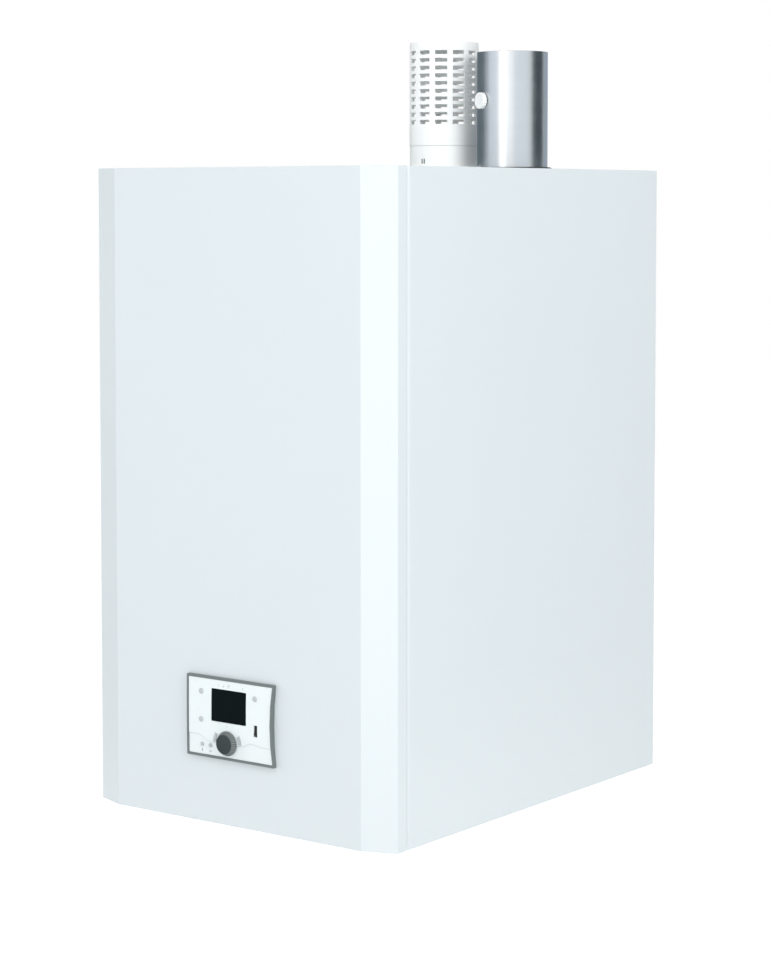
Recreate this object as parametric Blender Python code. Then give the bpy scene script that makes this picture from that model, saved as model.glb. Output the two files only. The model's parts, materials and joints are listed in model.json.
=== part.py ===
"""A wall-hung condensing gas boiler, modelled piece by piece.

Units are metres. X points right as one faces the boiler, Y points back to the wall and Z points up.
The origin is the middle of the wall rail's back face, which lies on the wall.
"""

import math

import bmesh
import bpy
from mathutils import Matrix, Vector

MM = 0.001

# Clearances
GAP = 0.3 * MM
CUT_PAST = 2 * MM

# Casing
CASE_WIDTH = 508 * MM
CASE_HEIGHT = 870 * MM
CASE_DEPTH = 652 * MM
RAIL_BELOW_TOP = 80 * MM
SHEET = 1.2 * MM
FLANGE = 36 * MM
BACK_FLANGE = 15 * MM
SIDE_BEND_RADIUS = 6 * MM
FOLD_RADIUS = 2 * MM

# Front cover
BEVEL_WIDTH = 45.4 * MM
BEVEL_DEPTH = 17.1 * MM
COVER_RETURN = 19 * MM
COVER_JOINT = 2 * MM
COVER_LIP = 32 * MM
SEAL_WIDTH = 10 * MM

# Ball studs of the cover and the clips that hold them
STUD_INSET = 25 * MM
STUD_FROM_END = 80 * MM
STUD_RADIUS = 2.5 * MM
BALL_RADIUS = 3.5 * MM
CLIP_WALL = 2 * MM
CLIP_LENGTH = 15 * MM
CLIP_HEAD = 1 * MM
CLIP_HEAD_RIM = 1.6 * MM

# Wall rail and the hook on the casing's back
RAIL_LENGTH = 360 * MM
RAIL_THICKNESS = 2.5 * MM
RAIL_FOLD_RADIUS = 3 * MM
RAIL_STANDOFF = 11.5 * MM
RAIL_LEG_BELOW = 20 * MM
RAIL_LEG_ABOVE = 12 * MM
RAIL_LIP = 13 * MM
RAIL_SLOT_SPACING = 110 * MM
RAIL_SLOT_LENGTH = 16 * MM
RAIL_SLOT_WIDTH = 8 * MM
HOOK_LENGTH = 300 * MM
HOOK_THICKNESS = 2 * MM
HOOK_LEG = 55 * MM

# Air terminal and flue outlet on the top
DUCT_RADIUS = 50 * MM
DUCT_FACETS = 24
DUCT_FROM_WALL = 186 * MM
AIR_X = 7 * MM
FLUE_X = 125.5 * MM
COLLAR_HEIGHT = 35 * MM
COLLAR_BELOW = 15 * MM
COLLAR_FLANGE = 9 * MM
COLLAR_FLANGE_THICKNESS = 2.6 * MM
COLLAR_STEP = 0.6 * MM
COLLAR_SPIGOT = 20 * MM
COLLAR_SLOT_WIDTH = 2 * MM
COLLAR_SLOT_SPACING = 3.8 * MM
COLLAR_SLOT_HEIGHT = 7 * MM
COLLAR_SLOTS_LEFT = 2 * MM
DUCT_HOLE_CLEARANCE = 0.6 * MM
AIR_SEAL_THICKNESS = 1.4 * MM
GRILLE_TOP = 184 * MM
GRILLE_WALL = 2.5 * MM
GRILLE_RIM_ROUND = 1.5 * MM
GRILLE_COLUMNS = 12
GRILLE_ROWS = 10
GRILLE_ROW_PITCH = 11 * MM
GRILLE_WINDOW_HEIGHT = 5.9 * MM
GRILLE_WINDOW_ANGLE = 20.5
GRILLE_FIRST_ROW = 16 * MM
FLUE_TOP = 166 * MM
FLUE_BELOW = 30 * MM
FLUE_WALL = 1 * MM
FLUE_SEAL_LIP = 9 * MM
FLUE_SEAL_THICKNESS = 3.4 * MM
FLUE_SEAL_NECK = 3 * MM
RISER_OVERLAP = 20 * MM

# Sampling port on the flue
PORT_HEIGHT = 97 * MM
PORT_TURN = -22.5
PORT_RADIUS = 8 * MM
PORT_BORE = 6 * MM
PORT_LENGTH = 4.5 * MM
CAP_RADIUS = 11.5 * MM
CAP_FACE = 1.7 * MM
CAP_CLEAR = 0.6 * MM
CAP_RIBS = 14
CAP_RIB_DEPTH = 0.7 * MM

# Control panel, seen from the front
PANEL_X = -4 * MM
PANEL_ABOVE_BOTTOM = 143 * MM
PANEL_WIDTH = 150 * MM
PANEL_HEIGHT = 109 * MM
PANEL_WAISTS = (0.6 * MM, 3.6 * MM)
PANEL_CROWN = 1.2 * MM
PANEL_CORNER = 1.5 * MM
BEZEL_PROUD = 5 * MM
BEZEL_BORDER = 3.3 * MM
FASCIA_DROP = 0.4 * MM
FASCIA_BACK = 1.5 * MM
FASCIA_STEP = 0.4 * MM
CUTOUT_WIDTH = 132 * MM
CUTOUT_HEIGHT = 94 * MM
UNIT_CLEARANCE = 0.5 * MM
UNIT_WALL = 1.5 * MM
UNIT_DEPTH = 42 * MM
UNIT_FLANGE = 5 * MM
UNIT_FLANGE_THICKNESS = 2 * MM
UNIT_BOARD_DEPTH = 16 * MM
BOARD_THICKNESS = 1.6 * MM
POST_RADIUS = 3 * MM
POST_GAP = 0.3 * MM

# Places on the control panel, from its centre
DISPLAY_AT = (-1.9 * MM, 17.4 * MM)
DISPLAY_WIDTH = 59.2 * MM
DISPLAY_HEIGHT = 43.2 * MM
DISPLAY_DROP = 0.3 * MM
DISPLAY_CORNER = 1 * MM
MODULE_RIM = 1.5 * MM
KNOB_AT = (-4.4 * MM, -31.8 * MM)
ROUND_BUTTONS = {
    "button_upper_left": (-49.5 * MM, 33.2 * MM),
    "button_lower_left": (-49.5 * MM, -4.2 * MM),
    "button_right": (42.6 * MM, 33 * MM),
}
SMALL_BUTTONS = {
    "button_small_left": (-48.2 * MM, -37.8 * MM),
    "button_small_right": (-34.2 * MM, -37.8 * MM),
}
SWITCH_AT = (44 * MM, -9.4 * MM)
WAVE_FALL_FROM = (-55 * MM, -25 * MM)
WAVE_FALL_TO = (-34 * MM, -33 * MM)
WAVE_RISE_FROM = (20 * MM, -33 * MM)
WAVE_CREST = (36 * MM, -27.5 * MM)
WAVE_SETTLE = (58 * MM, -30 * MM)

# Knob, buttons and rocker
KNOB_RADIUS = 16.5 * MM
KNOB_FACE_RADIUS = 13 * MM
KNOB_HEIGHT = 7 * MM
KNOB_RIBS = 16
KNOB_RIB_DEPTH = 0.5 * MM
KNOB_DISH = 0.6 * MM
KNOB_SKIRT = 1.4 * MM
KNOB_EDGE = 1 * MM
SHAFT_RADIUS = 3 * MM
ENCODER_WALL = 1.8 * MM
ENCODER_SIZE = 13 * MM
ENCODER_BODY = 6 * MM
BUTTON_FACETS = 8
BUTTON_RADIUS = 3.6 * MM
SMALL_BUTTON_RADIUS = 2.5 * MM
BUTTON_PROUD = 0.8 * MM
BUTTON_DOME = 0.5 * MM
BUTTON_RIM = 1 * MM
BUTTON_RIM_THICKNESS = 1 * MM
BUTTON_STEM = 1.4 * MM
BUTTON_CLEARANCE = 0.35 * MM
BUTTON_TRAVEL = 1.2 * MM
CRESCENT_INNER = 19.2 * MM
CRESCENT_OUTER = 23.8 * MM
CRESCENT_MIDDLE_ANGLE = 16
CRESCENT_SPAN = 30
TACT_SIZE = 6 * MM
TACT_HEIGHT = 5 * MM
ROCKER_LENGTH = 15.5 * MM
ROCKER_WIDTH = 6 * MM
ROCKER_TILT = 7
ROCKER_PIVOT_DEPTH = 2 * MM
ROCKER_PIN_RADIUS = 0.8 * MM
ROCKER_PIN_LENGTH = 1 * MM
ROCKER_ROOT = 4 * MM
ROCKER_WELL_SPARE = 2 * MM
SWITCH_BODY_WALL = 2 * MM

# Heat exchanger and burner
BLOCK_X = -50 * MM
BLOCK_BEHIND = 100 * MM
BLOCK_AHEAD = 192 * MM
BLOCK_WIDTH = 200 * MM
BLOCK_SECTIONS = 8
BLOCK_LIP = 1 * MM
BLOCK_TOP_BELOW_RAIL = 140 * MM
BLOCK_HEIGHT = 360 * MM
BLOCK_GROOVE_WIDTH = 7 * MM
BLOCK_GROOVE_DEPTH = 8 * MM
BLOCK_FLANGE = 12 * MM
CHAMBER_DEPTH = 40 * MM
CHAMBER_RIM = 22 * MM
CHAMBER_CORNER = 12 * MM
LUG_LENGTH = 25 * MM
LUG_WIDTH = 60 * MM
LUG_HEIGHT = 60 * MM
BURNER_FLANGE = 4 * MM
BURNER_TUB_DEPTH = 32 * MM
BURNER_CLEARANCE = 3 * MM
BURNER_CORNER = 9 * MM
HOOD_HEIGHT = 75 * MM
HOOD_FLANGE = 6 * MM
HOOD_SIDE_TAPER = 27 * MM
HOOD_TOP_TAPER = 44 * MM
HOOD_SHOULDER = 15 * MM
HOOD_CORNER = 8 * MM
HOOD_INLET_LENGTH = 60 * MM
NUT_RADIUS = 6 * MM
NUT_HEIGHT = 6 * MM
NUT_INSET = 10 * MM
NUTS_A_SIDE = 3
ELECTRODE_RADIUS = 7 * MM
ELECTRODE_LENGTH = 34 * MM
ELECTRODE_FLANGE = 14 * MM
ELECTRODE_FLANGE_THICKNESS = 3 * MM
ELECTRODE_X = 20 * MM
ELECTRODE_BELOW_BLOCK_TOP = 34 * MM

# Fan, venturi, gas valve
FAN_X = -50 * MM
FAN_BEHIND_FRONT = 77 * MM
FAN_BELOW_RAIL = 290 * MM
FAN_WIDTH = 44 * MM
FAN_WALL = 3 * MM
VOLUTE_FACETS = 20
VOLUTE_START_RADIUS = 53 * MM
VOLUTE_END_RADIUS = 70 * MM
VOLUTE_OUTLET_WIDTH = 42 * MM
VOLUTE_OUTLET_HEIGHT = 85 * MM
FAN_INLET_RADIUS = 24 * MM
IMPELLER_RADIUS = 44 * MM
IMPELLER_CLEARANCE = 4 * MM
IMPELLER_PLATE = 2.5 * MM
IMPELLER_FACETS = 16
IMPELLER_BLADES = 7
IMPELLER_BLADE_LEAN = 42
IMPELLER_BLADE_INSET = 2 * MM
IMPELLER_BLADE_THICKNESS = 2 * MM
IMPELLER_EYE = 22 * MM
IMPELLER_HUB = 10 * MM
FAN_SHAFT_RADIUS = 4 * MM
FAN_SHAFT_LENGTH = 35 * MM
MOTOR_RADIUS = 38 * MM
MOTOR_LENGTH = 60 * MM
MOTOR_END_RADIUS = 26 * MM
MOTOR_STEP_AT = 18 * MM
VENTURI_LENGTH = 72 * MM
VENTURI_FLANGE = 36 * MM
VENTURI_THROAT = 13 * MM
VENTURI_THROAT_AT = 36 * MM
VENTURI_FLARE = 16 * MM
VENTURI_FLARE_AT = 54 * MM
VENTURI_MOUTH = 28 * MM
VENTURI_WALL = 4 * MM
GAS_BOSS_RADIUS = 12 * MM
GAS_BOSS_BORE = 6 * MM
GAS_BOSS_DROP = 45 * MM
GAS_BOSS_AT = 40 * MM
VALVE_WIDTH = 65 * MM
VALVE_DEPTH = 54 * MM
VALVE_HEIGHT = 64 * MM
VALVE_CORNER = 6 * MM
VALVE_COIL_RADIUS = 15 * MM
VALVE_COIL_LENGTH = 18 * MM
VALVE_COIL_SPACING = 32 * MM
VALVE_PORT_RADIUS = 14 * MM
VALVE_PORT_LENGTH = 10 * MM
ELBOW_RADIUS = 22 * MM
ELBOW_WALL = 2.5 * MM
ELBOW_BEND = 40 * MM
ELBOW_FLANGE = 4 * MM
ELBOW_FLANGE_RIM = 5 * MM
ELBOW_FLANGE_CORNER = 6 * MM

# Pipes to the installation
STUB_LENGTH = 40 * MM
WATER_PIPE_RADIUS = 17.5 * MM
WATER_PIPE_WALL = 1.5 * MM
WATER_PIPE_REACH = 30 * MM
WATER_PIPE_BEND = 26 * MM
FLOW_FROM_WALL = 300 * MM
RETURN_FROM_WALL = 190 * MM
FLOW_BELOW_BLOCK_TOP = 40 * MM
RETURN_ABOVE_BLOCK_BOTTOM = 50 * MM
GAS_PIPE_RADIUS = 11 * MM
GAS_PIPE_WALL = 1.5 * MM
GAS_PIPE_BEND = 25 * MM
GAS_PIPE_DROP = 75 * MM
GAS_PIPE_OFFSET_END = 187 * MM
GAS_CONNECTION_X = 85 * MM
GAS_CONNECTION_BEHIND_FRONT = 147 * MM
PIPE_HOLE_CLEARANCE = 1.5 * MM
UNION_NUT_RIM = 6 * MM
UNION_NUT_HEIGHT = 18 * MM
UNION_NUT_FROM_END = 10 * MM
UNION_NUT_BITE = 0.98 * MM
STRAIGHT_END = UNION_NUT_FROM_END + UNION_NUT_HEIGHT + 2 * MM
LEVEL_WITHIN = 0.01 * MM

# Condensate and the stand
SUMP_THICKNESS = 45 * MM
SUMP_RIM = 10 * MM
SUMP_CORNER = 15 * MM
SUMP_SOCKET_DEPTH = 30 * MM
SUMP_SOCKET_WALL = 6 * MM
TRAP_X = 150 * MM
TRAP_FROM_WALL = 330 * MM
TRAP_RADIUS = 30 * MM
TRAP_NECK_RADIUS = 12 * MM
TRAP_NECK_LENGTH = 30 * MM
TRAP_BODY_LENGTH = 125 * MM
DRAIN_RADIUS = 12 * MM
DRAIN_BORE = 9 * MM
STAND_THICKNESS = 3 * MM
STAND_BAR_DEPTH = 30 * MM
STAND_FOOT = 25 * MM
STAND_SPACING = 280 * MM
STAND_RAIL_HEIGHT = 20 * MM

# Vent, gland, control tray
VENT_RADIUS = 11 * MM
VENT_FOOT_RADIUS = 7 * MM
VENT_HEIGHT = 58 * MM
VENT_FOOT_HEIGHT = 10 * MM
VENT_CAP_RADIUS = 5 * MM
GLAND_FROM_SIDE = 84 * MM
GLAND_FROM_WALL = 120 * MM
GLAND_RADIUS = 10 * MM
GLAND_RIM = 4 * MM
GLAND_BORE = 5 * MM
GLAND_BELOW = 20 * MM
GLAND_ABOVE = 10 * MM
GLAND_NUT = 5 * MM
TRAY_WIDTH = 157 * MM
TRAY_HEIGHT = 220 * MM
TRAY_DEPTH = 55 * MM
TRAY_BEHIND_FRONT = 52 * MM
TRAY_ABOVE_BOTTOM = 100 * MM
TRAY_POST = 12 * MM
TRAY_BOARD_MARGIN = 8 * MM
BOARD_PARTS_INSET = 16 * MM
TRANSFORMER = (40 * MM, 28 * MM, 35 * MM)
TRANSFORMER_ABOVE = 130 * MM
RELAY = (20 * MM, 16 * MM, 20 * MM)
RELAY_ABOVE = 80 * MM
RELAY_PITCH = 32 * MM
RELAYS = 3
SOCKET = (13 * MM, 12 * MM, 14 * MM)
SOCKET_ABOVE = 6 * MM
SOCKET_PITCH = 17 * MM
SOCKETS = 6

# Places that follow from the sizes above
HALF_WIDTH = CASE_WIDTH / 2
TOP = RAIL_BELOW_TOP
BOTTOM = TOP - CASE_HEIGHT
FRONT = -CASE_DEPTH
COVER_BACK = FRONT + BEVEL_DEPTH + COVER_RETURN
SIDE_FRONT = COVER_BACK + COVER_JOINT
BETWEEN_SIDES = HALF_WIDTH - SHEET - GAP
RAIL_LIP_FRONT = -RAIL_STANDOFF - RAIL_THICKNESS
HOOK_FRONT = RAIL_LIP_FRONT - GAP - HOOK_THICKNESS
BACK_FACE = HOOK_FRONT - GAP
INNER_BACK = BACK_FACE - SHEET
DUCT_Y = -DUCT_FROM_WALL
CLIP_BORE = BALL_RADIUS + GAP
CLIP_NECK = CLIP_BORE + CLIP_WALL
PANEL_Z = BOTTOM + PANEL_ABOVE_BOTTOM
BLOCK_LENGTH = CASE_DEPTH - BLOCK_BEHIND - BLOCK_AHEAD
BLOCK_SECTION_PITCH = (BLOCK_LENGTH - 2 * BLOCK_LIP) / BLOCK_SECTIONS
BLOCK_Y = -BLOCK_BEHIND - BLOCK_LENGTH / 2
BLOCK_TOP = -BLOCK_TOP_BELOW_RAIL
BLOCK_BOTTOM = BLOCK_TOP - BLOCK_HEIGHT
BLOCK_LEFT = BLOCK_X - BLOCK_WIDTH / 2
BLOCK_FRONT = BLOCK_Y - BLOCK_LENGTH / 2
WATER_PIPE_X = BLOCK_LEFT - LUG_LENGTH - WATER_PIPE_REACH
FLOW_Z = BLOCK_TOP - FLOW_BELOW_BLOCK_TOP
RETURN_Z = BLOCK_BOTTOM + RETURN_ABOVE_BLOCK_BOTTOM
HOOD_BOTTOM = BLOCK_TOP + GAP + BURNER_FLANGE + GAP
HOOD_INLET_Z = HOOD_BOTTOM + HOOD_HEIGHT / 2
FAN_Y = FRONT + FAN_BEHIND_FRONT
FAN_Z = -FAN_BELOW_RAIL
FAN_LEFT = FAN_X - FAN_WIDTH / 2
FAN_RIGHT = FAN_X + FAN_WIDTH / 2
VOLUTE_OUTLET_Y = FAN_Y + VOLUTE_END_RADIUS - VOLUTE_OUTLET_WIDTH / 2
VOLUTE_OUTLET_Z = FAN_Z + VOLUTE_OUTLET_HEIGHT
GAS_BOSS_X = FAN_RIGHT + GAP + GAS_BOSS_AT
VALVE_TOP = FAN_Z - GAS_BOSS_DROP - GAP
SUMP_TOP = BLOCK_BOTTOM - GAP
SUMP_BOTTOM = SUMP_TOP - SUMP_THICKNESS
RISER_RADIUS = DUCT_RADIUS - FLUE_WALL - GAP
FLOOR_INSIDE = BOTTOM + SHEET + GAP
STUB_END = BOTTOM - STUB_LENGTH
GAS_CONNECTION = (GAS_CONNECTION_X, FRONT + GAS_CONNECTION_BEHIND_FRONT)
GLAND_AT = (HALF_WIDTH - GLAND_FROM_SIDE, -GLAND_FROM_WALL)

FINISHES = {
    "white_paint": ((0.83, 0.84, 0.86), 0.0, 0.35),
    "white_plastic": ((0.86, 0.87, 0.86), 0.0, 0.4),
    "grey_plastic": ((0.20, 0.22, 0.23), 0.0, 0.4),
    "knob_plastic": ((0.055, 0.06, 0.065), 0.0, 0.35),
    "button_grey": ((0.55, 0.57, 0.58), 0.0, 0.45),
    "black_plastic": ((0.01, 0.011, 0.012), 0.0, 0.4),
    "dark_glass": ((0.004, 0.006, 0.007), 0.0, 0.08),
    "stainless_steel": ((0.56, 0.57, 0.59), 1.0, 0.25),
    "galvanised_steel": ((0.48, 0.50, 0.52), 1.0, 0.45),
    "cast_aluminium": ((0.60, 0.61, 0.62), 1.0, 0.55),
    "copper": ((0.72, 0.38, 0.26), 1.0, 0.3),
    "brass": ((0.70, 0.55, 0.28), 1.0, 0.3),
    "black_rubber": ((0.012, 0.012, 0.012), 0.0, 0.8),
    "circuit_board": ((0.02, 0.16, 0.07), 0.0, 0.5),
    "ceramic": ((0.82, 0.80, 0.74), 0.0, 0.5),
}


# Outlines and paths

def rounded(points, radius, closed=True, steps=3):
    """The points with each corner turned into an arc. The radius is one number or a list of them."""
    corners = [Vector(point) for point in points]
    radii = radius if isinstance(radius, list) else [radius] * len(corners)
    result = []
    for i, corner in enumerate(corners):
        is_end = not closed and i in (0, len(corners) - 1)
        if is_end or radii[i] == 0:
            result.append(corner)
            continue
        before = (corners[i - 1] - corner).normalized()
        after = (corners[(i + 1) % len(corners)] - corner).normalized()
        half = before.angle(after) / 2
        reach = radii[i] / math.tan(half)
        centre = corner + (before + after).normalized() * (radii[i] / math.sin(half))
        start = corner + before * reach - centre
        end = corner + after * reach - centre
        sweep = math.pi - 2 * half
        for k in range(steps + 1):
            part = k / steps
            blend = start * math.sin((1 - part) * sweep) + end * math.sin(part * sweep)
            result.append(centre + blend / math.sin(sweep))
    return result


def offset(path, distance, closed=True):
    """The flat path moved sideways, to the left of its direction."""
    points = [Vector(point) for point in path]
    result = []
    for i, point in enumerate(points):
        has_before = closed or i > 0
        has_after = closed or i < len(points) - 1
        after = points[(i + 1) % len(points)] - point if has_after else point - points[i - 1]
        before = point - points[i - 1] if has_before else after
        normals = [Vector((-edge.y, edge.x)).normalized() for edge in (before, after)]
        middle = (normals[0] + normals[1]).normalized()
        result.append(point + middle * (distance / middle.dot(normals[0])))
    return result


def strip(path, thickness, radius=FOLD_RADIUS, steps=3):
    """The outline of a bent sheet: the path is one face, and the sheet lies to its left."""
    outer = rounded(path, radius, closed=False, steps=steps)
    return outer + offset(outer, thickness, closed=False)[::-1]


def rectangle(centre, width, height, radius=0.0, steps=3):
    x, z = centre
    w, h = width / 2, height / 2
    corners = [(x - w, z - h), (x + w, z - h), (x + w, z + h), (x - w, z + h)]
    return rounded(corners, radius, steps=steps)


def circle(centre, radius, steps=14):
    turn = 2 * math.pi / steps
    x, z = centre
    return [(x + radius * math.cos(k * turn), z + radius * math.sin(k * turn)) for k in range(steps)]


def mirrored(outline):
    """The outline on the other side of the middle plane, still running the same way round."""
    return [(-x, y) for x, y in outline][::-1]


# Solids

def blank(mesh):
    """An object of this bmesh, with its faces turned outwards."""
    bmesh.ops.recalc_face_normals(mesh, faces=mesh.faces[:])
    data = bpy.data.meshes.new("blank")
    mesh.to_mesh(data)
    mesh.free()
    made = bpy.data.objects.new("blank", data)
    bpy.context.scene.collection.objects.link(made)
    return made


def at(axis, first, second, along):
    """A point from its two coordinates across an axis and the one along it."""
    return {
        "X": Vector((along, first, second)),
        "Y": Vector((first, along, second)),
        "Z": Vector((first, second, along)),
    }[axis]


def prism(outline, axis, low, high):
    """A flat outline pushed along an axis: YZ outlines along X, XZ along Y and XY along Z."""
    mesh = bmesh.new()
    face = mesh.faces.new([mesh.verts.new(at(axis, a, b, low)) for a, b in outline])
    pushed = bmesh.ops.extrude_face_region(mesh, geom=[face])["geom"]
    moved = [item for item in pushed if isinstance(item, bmesh.types.BMVert)]
    bmesh.ops.translate(mesh, verts=moved, vec=at(axis, 0, 0, high - low))
    return blank(mesh)


def block(x, y, z):
    """A box from its three ranges."""
    return prism([(x[0], y[0]), (x[1], y[0]), (x[1], y[1]), (x[0], y[1])], "Z", z[0], z[1])


def turned(profile, axis, centre, steps=16):
    """A closed profile of (radius, place along the axis) turned about that axis."""
    mesh = bmesh.new()
    first, second = centre
    points = [mesh.verts.new(at(axis, first + radius, second, along)) for radius, along in profile]
    for i, point in enumerate(points):
        mesh.edges.new((points[i - 1], point))
    bmesh.ops.spin(
        mesh,
        geom=mesh.verts[:] + mesh.edges[:],
        cent=at(axis, first, second, 0),
        axis=at(axis, 0, 0, 1),
        angle=2 * math.pi,
        steps=steps,
        use_merge=True,
    )
    bmesh.ops.remove_doubles(mesh, verts=mesh.verts[:], dist=1e-7)
    on_axis = [edge for edge in mesh.edges if not edge.link_faces]
    bmesh.ops.delete(mesh, geom=on_axis, context="EDGES")
    return blank(mesh)


def rod(centre, radius, axis, low, high, steps=14):
    return prism(circle(centre, radius, steps), axis, low, high)


def swept(path, radius, resolution=3):
    """A round bar along a path, made by a curve with filled ends."""
    curve = bpy.data.curves.new("path", "CURVE")
    curve.dimensions = "3D"
    curve.bevel_depth = radius
    curve.bevel_resolution = resolution
    curve.use_fill_caps = True
    spline = curve.splines.new("POLY")
    spline.points.add(len(path) - 1)
    for point, place in zip(spline.points, path):
        point.co = (*place, 1)
    made = bpy.data.objects.new("path", curve)
    bpy.context.scene.collection.objects.link(made)
    mesh = bmesh.new()
    mesh.from_mesh(evaluated_mesh(made))
    bpy.data.objects.remove(made)
    bmesh.ops.remove_doubles(mesh, verts=mesh.verts[:], dist=1e-6)
    return blank(mesh)


def bent_tube(corners, radius, wall, bend):
    """A hollow round pipe through the corner points, with bends of one radius and a straight end."""
    path = rounded(corners, bend, closed=False, steps=3)
    path.insert(-1, path[-1] + (path[-2] - path[-1]).normalized() * STRAIGHT_END)
    past_start = path[0] + (path[0] - path[1]).normalized() * CUT_PAST
    past_end = path[-1] + (path[-1] - path[-2]).normalized() * CUT_PAST
    return cut(swept(path, radius), swept([past_start] + path + [past_end], radius - wall))


def evaluated_mesh(made):
    graph = bpy.context.evaluated_depsgraph_get()
    return bpy.data.meshes.new_from_object(made.evaluated_get(graph))


def combined(target, tool, operation):
    modifier = target.modifiers.new("shape", "BOOLEAN")
    modifier.operation = operation
    modifier.object = tool
    data = evaluated_mesh(target)
    target.modifiers.clear()
    target.data = data
    bpy.data.objects.remove(tool)
    return target


def cut(target, *tools):
    for tool in tools:
        combined(target, tool, "DIFFERENCE")
    return target


def fused(target, *tools):
    for tool in tools:
        combined(target, tool, "UNION")
    return target


def named(made, name, finish, origin=(0, 0, 0), smooth_angle=30):
    """Gives the solid its name, its material and its origin, and shades its round faces smooth."""
    colour, metallic, roughness = FINISHES[finish]
    material = bpy.data.materials.new(name)
    material.use_nodes = True
    shader = material.node_tree.nodes["Principled BSDF"]
    shader.inputs["Base Color"].default_value = (*colour, 1)
    shader.inputs["Metallic"].default_value = metallic
    shader.inputs["Roughness"].default_value = roughness
    made.data.materials.clear()
    made.data.materials.append(material)
    made.data.transform(Matrix.Translation(-Vector(origin)))
    made.location = origin
    made.data.shade_smooth()
    made.data.set_sharp_from_angle(angle=math.radians(smooth_angle))
    made.name = name
    made.data.name = name
    return made


# Casing

def cover_outline():
    """The cover's plan: flat front, bevelled vertical edges and short returns along the sides."""
    return [
        (-HALF_WIDTH, COVER_BACK),
        (-HALF_WIDTH, FRONT + BEVEL_DEPTH),
        (-HALF_WIDTH + BEVEL_WIDTH, FRONT),
        (HALF_WIDTH - BEVEL_WIDTH, FRONT),
        (HALF_WIDTH, FRONT + BEVEL_DEPTH),
        (HALF_WIDTH, COVER_BACK),
    ]


def stud_places():
    """The four ball studs near the cover's corners, by name, as (x, z)."""
    x = HALF_WIDTH - STUD_INSET
    return {
        "upper_left": (-x, TOP - STUD_FROM_END),
        "upper_right": (x, TOP - STUD_FROM_END),
        "lower_left": (-x, BOTTOM + STUD_FROM_END),
        "lower_right": (x, BOTTOM + STUD_FROM_END),
    }


def make_front_cover():
    folds = [0, FOLD_RADIUS, FOLD_RADIUS, FOLD_RADIUS, FOLD_RADIUS, 0]
    outside = rounded(cover_outline(), folds, steps=3)
    inside = offset(outside, SHEET)
    pan = prism(outside, "Z", BOTTOM, TOP)
    mouth = rectangle(
        (0, (TOP + BOTTOM) / 2), CASE_WIDTH - 2 * COVER_LIP, CASE_HEIGHT - 2 * COVER_LIP
    )
    cutout = rectangle((PANEL_X, PANEL_Z), CUTOUT_WIDTH, CUTOUT_HEIGHT)
    cut(
        pan,
        prism(inside, "Z", BOTTOM + SHEET, TOP - SHEET),
        prism(mouth, "Y", COVER_BACK - 2 * SHEET, COVER_BACK + CUT_PAST),
        prism(cutout, "Y", FRONT - CUT_PAST, FRONT + SHEET + CUT_PAST),
    )
    ball = SIDE_FRONT + CLIP_LENGTH - BALL_RADIUS - CLIP_HEAD
    neck = math.asin(STUD_RADIUS / BALL_RADIUS)
    stud = [(0, COVER_BACK - SHEET / 2), (STUD_RADIUS, COVER_BACK - SHEET / 2)]
    for k in range(4):
        angle = neck + (math.pi - neck) * k / 3
        stud.append((BALL_RADIUS * math.sin(angle) if k < 3 else 0, ball - BALL_RADIUS * math.cos(angle)))
    for place in stud_places().values():
        fused(pan, turned(stud, "Y", place, steps=8))
    return named(pan, "front_cover", "white_paint")


def make_cover_seal():
    edge = HALF_WIDTH - SIDE_BEND_RADIUS - COVER_JOINT / 4
    inset = HALF_WIDTH - edge
    middle = (0, (TOP + BOTTOM) / 2)
    outer = rectangle(middle, CASE_WIDTH - 2 * inset, CASE_HEIGHT - 2 * inset)
    hole = inset + SEAL_WIDTH
    inner = rectangle(middle, CASE_WIDTH - 2 * hole, CASE_HEIGHT - 2 * hole)
    frame = prism(outer, "Y", COVER_BACK + GAP, SIDE_FRONT - GAP)
    cut(frame, prism(inner, "Y", COVER_BACK - CUT_PAST, SIDE_FRONT + CUT_PAST))
    return named(frame, "cover_seal", "black_rubber")


def make_side_panels():
    """Each side is one sheet with a rounded bend at the front and narrow flanges front and back."""
    path = [
        (HALF_WIDTH - FLANGE, SIDE_FRONT),
        (HALF_WIDTH, SIDE_FRONT),
        (HALF_WIDTH, 0),
        (HALF_WIDTH - BACK_FLANGE, 0),
    ]
    right = strip(path, SHEET, [0, SIDE_BEND_RADIUS, FOLD_RADIUS, 0], steps=4)
    for name, outline, sign in (
        ("right_side_panel", right, 1),
        ("left_side_panel", mirrored(right), -1),
    ):
        panel = prism(outline, "Z", BOTTOM, TOP)
        for x, z in stud_places().values():
            if x * sign > 0:
                ends = (SIDE_FRONT - CUT_PAST, SIDE_FRONT + CUT_PAST)
                cut(panel, rod((x, z), CLIP_NECK + GAP, "Y", *ends, steps=10))
        named(panel, name, "white_paint")


def make_cover_clips():
    front = SIDE_FRONT - GAP - CLIP_HEAD
    back = front + CLIP_LENGTH + CLIP_HEAD
    head = CLIP_NECK + GAP + CLIP_HEAD_RIM
    profile = [
        (CLIP_BORE, front),
        (head, front),
        (head, front + CLIP_HEAD),
        (CLIP_NECK, front + CLIP_HEAD),
        (CLIP_NECK, back),
        (CLIP_BORE, back),
    ]
    for corner, place in stud_places().items():
        named(turned(profile, "Y", place, steps=10), "cover_clip_" + corner, "black_plastic")


def tray_outline():
    """The plan of the top and the bottom, which step round the side panels' front flanges."""
    tongue = HALF_WIDTH - FLANGE - GAP
    shoulder = SIDE_FRONT + SHEET + GAP
    bend = SIDE_BEND_RADIUS
    right = [
        (tongue, SIDE_FRONT),
        (tongue, shoulder),
        (BETWEEN_SIDES - bend, shoulder),
        (BETWEEN_SIDES, shoulder + bend),
        (BETWEEN_SIDES, INNER_BACK - GAP),
    ]
    return mirrored(right) + right


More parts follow.
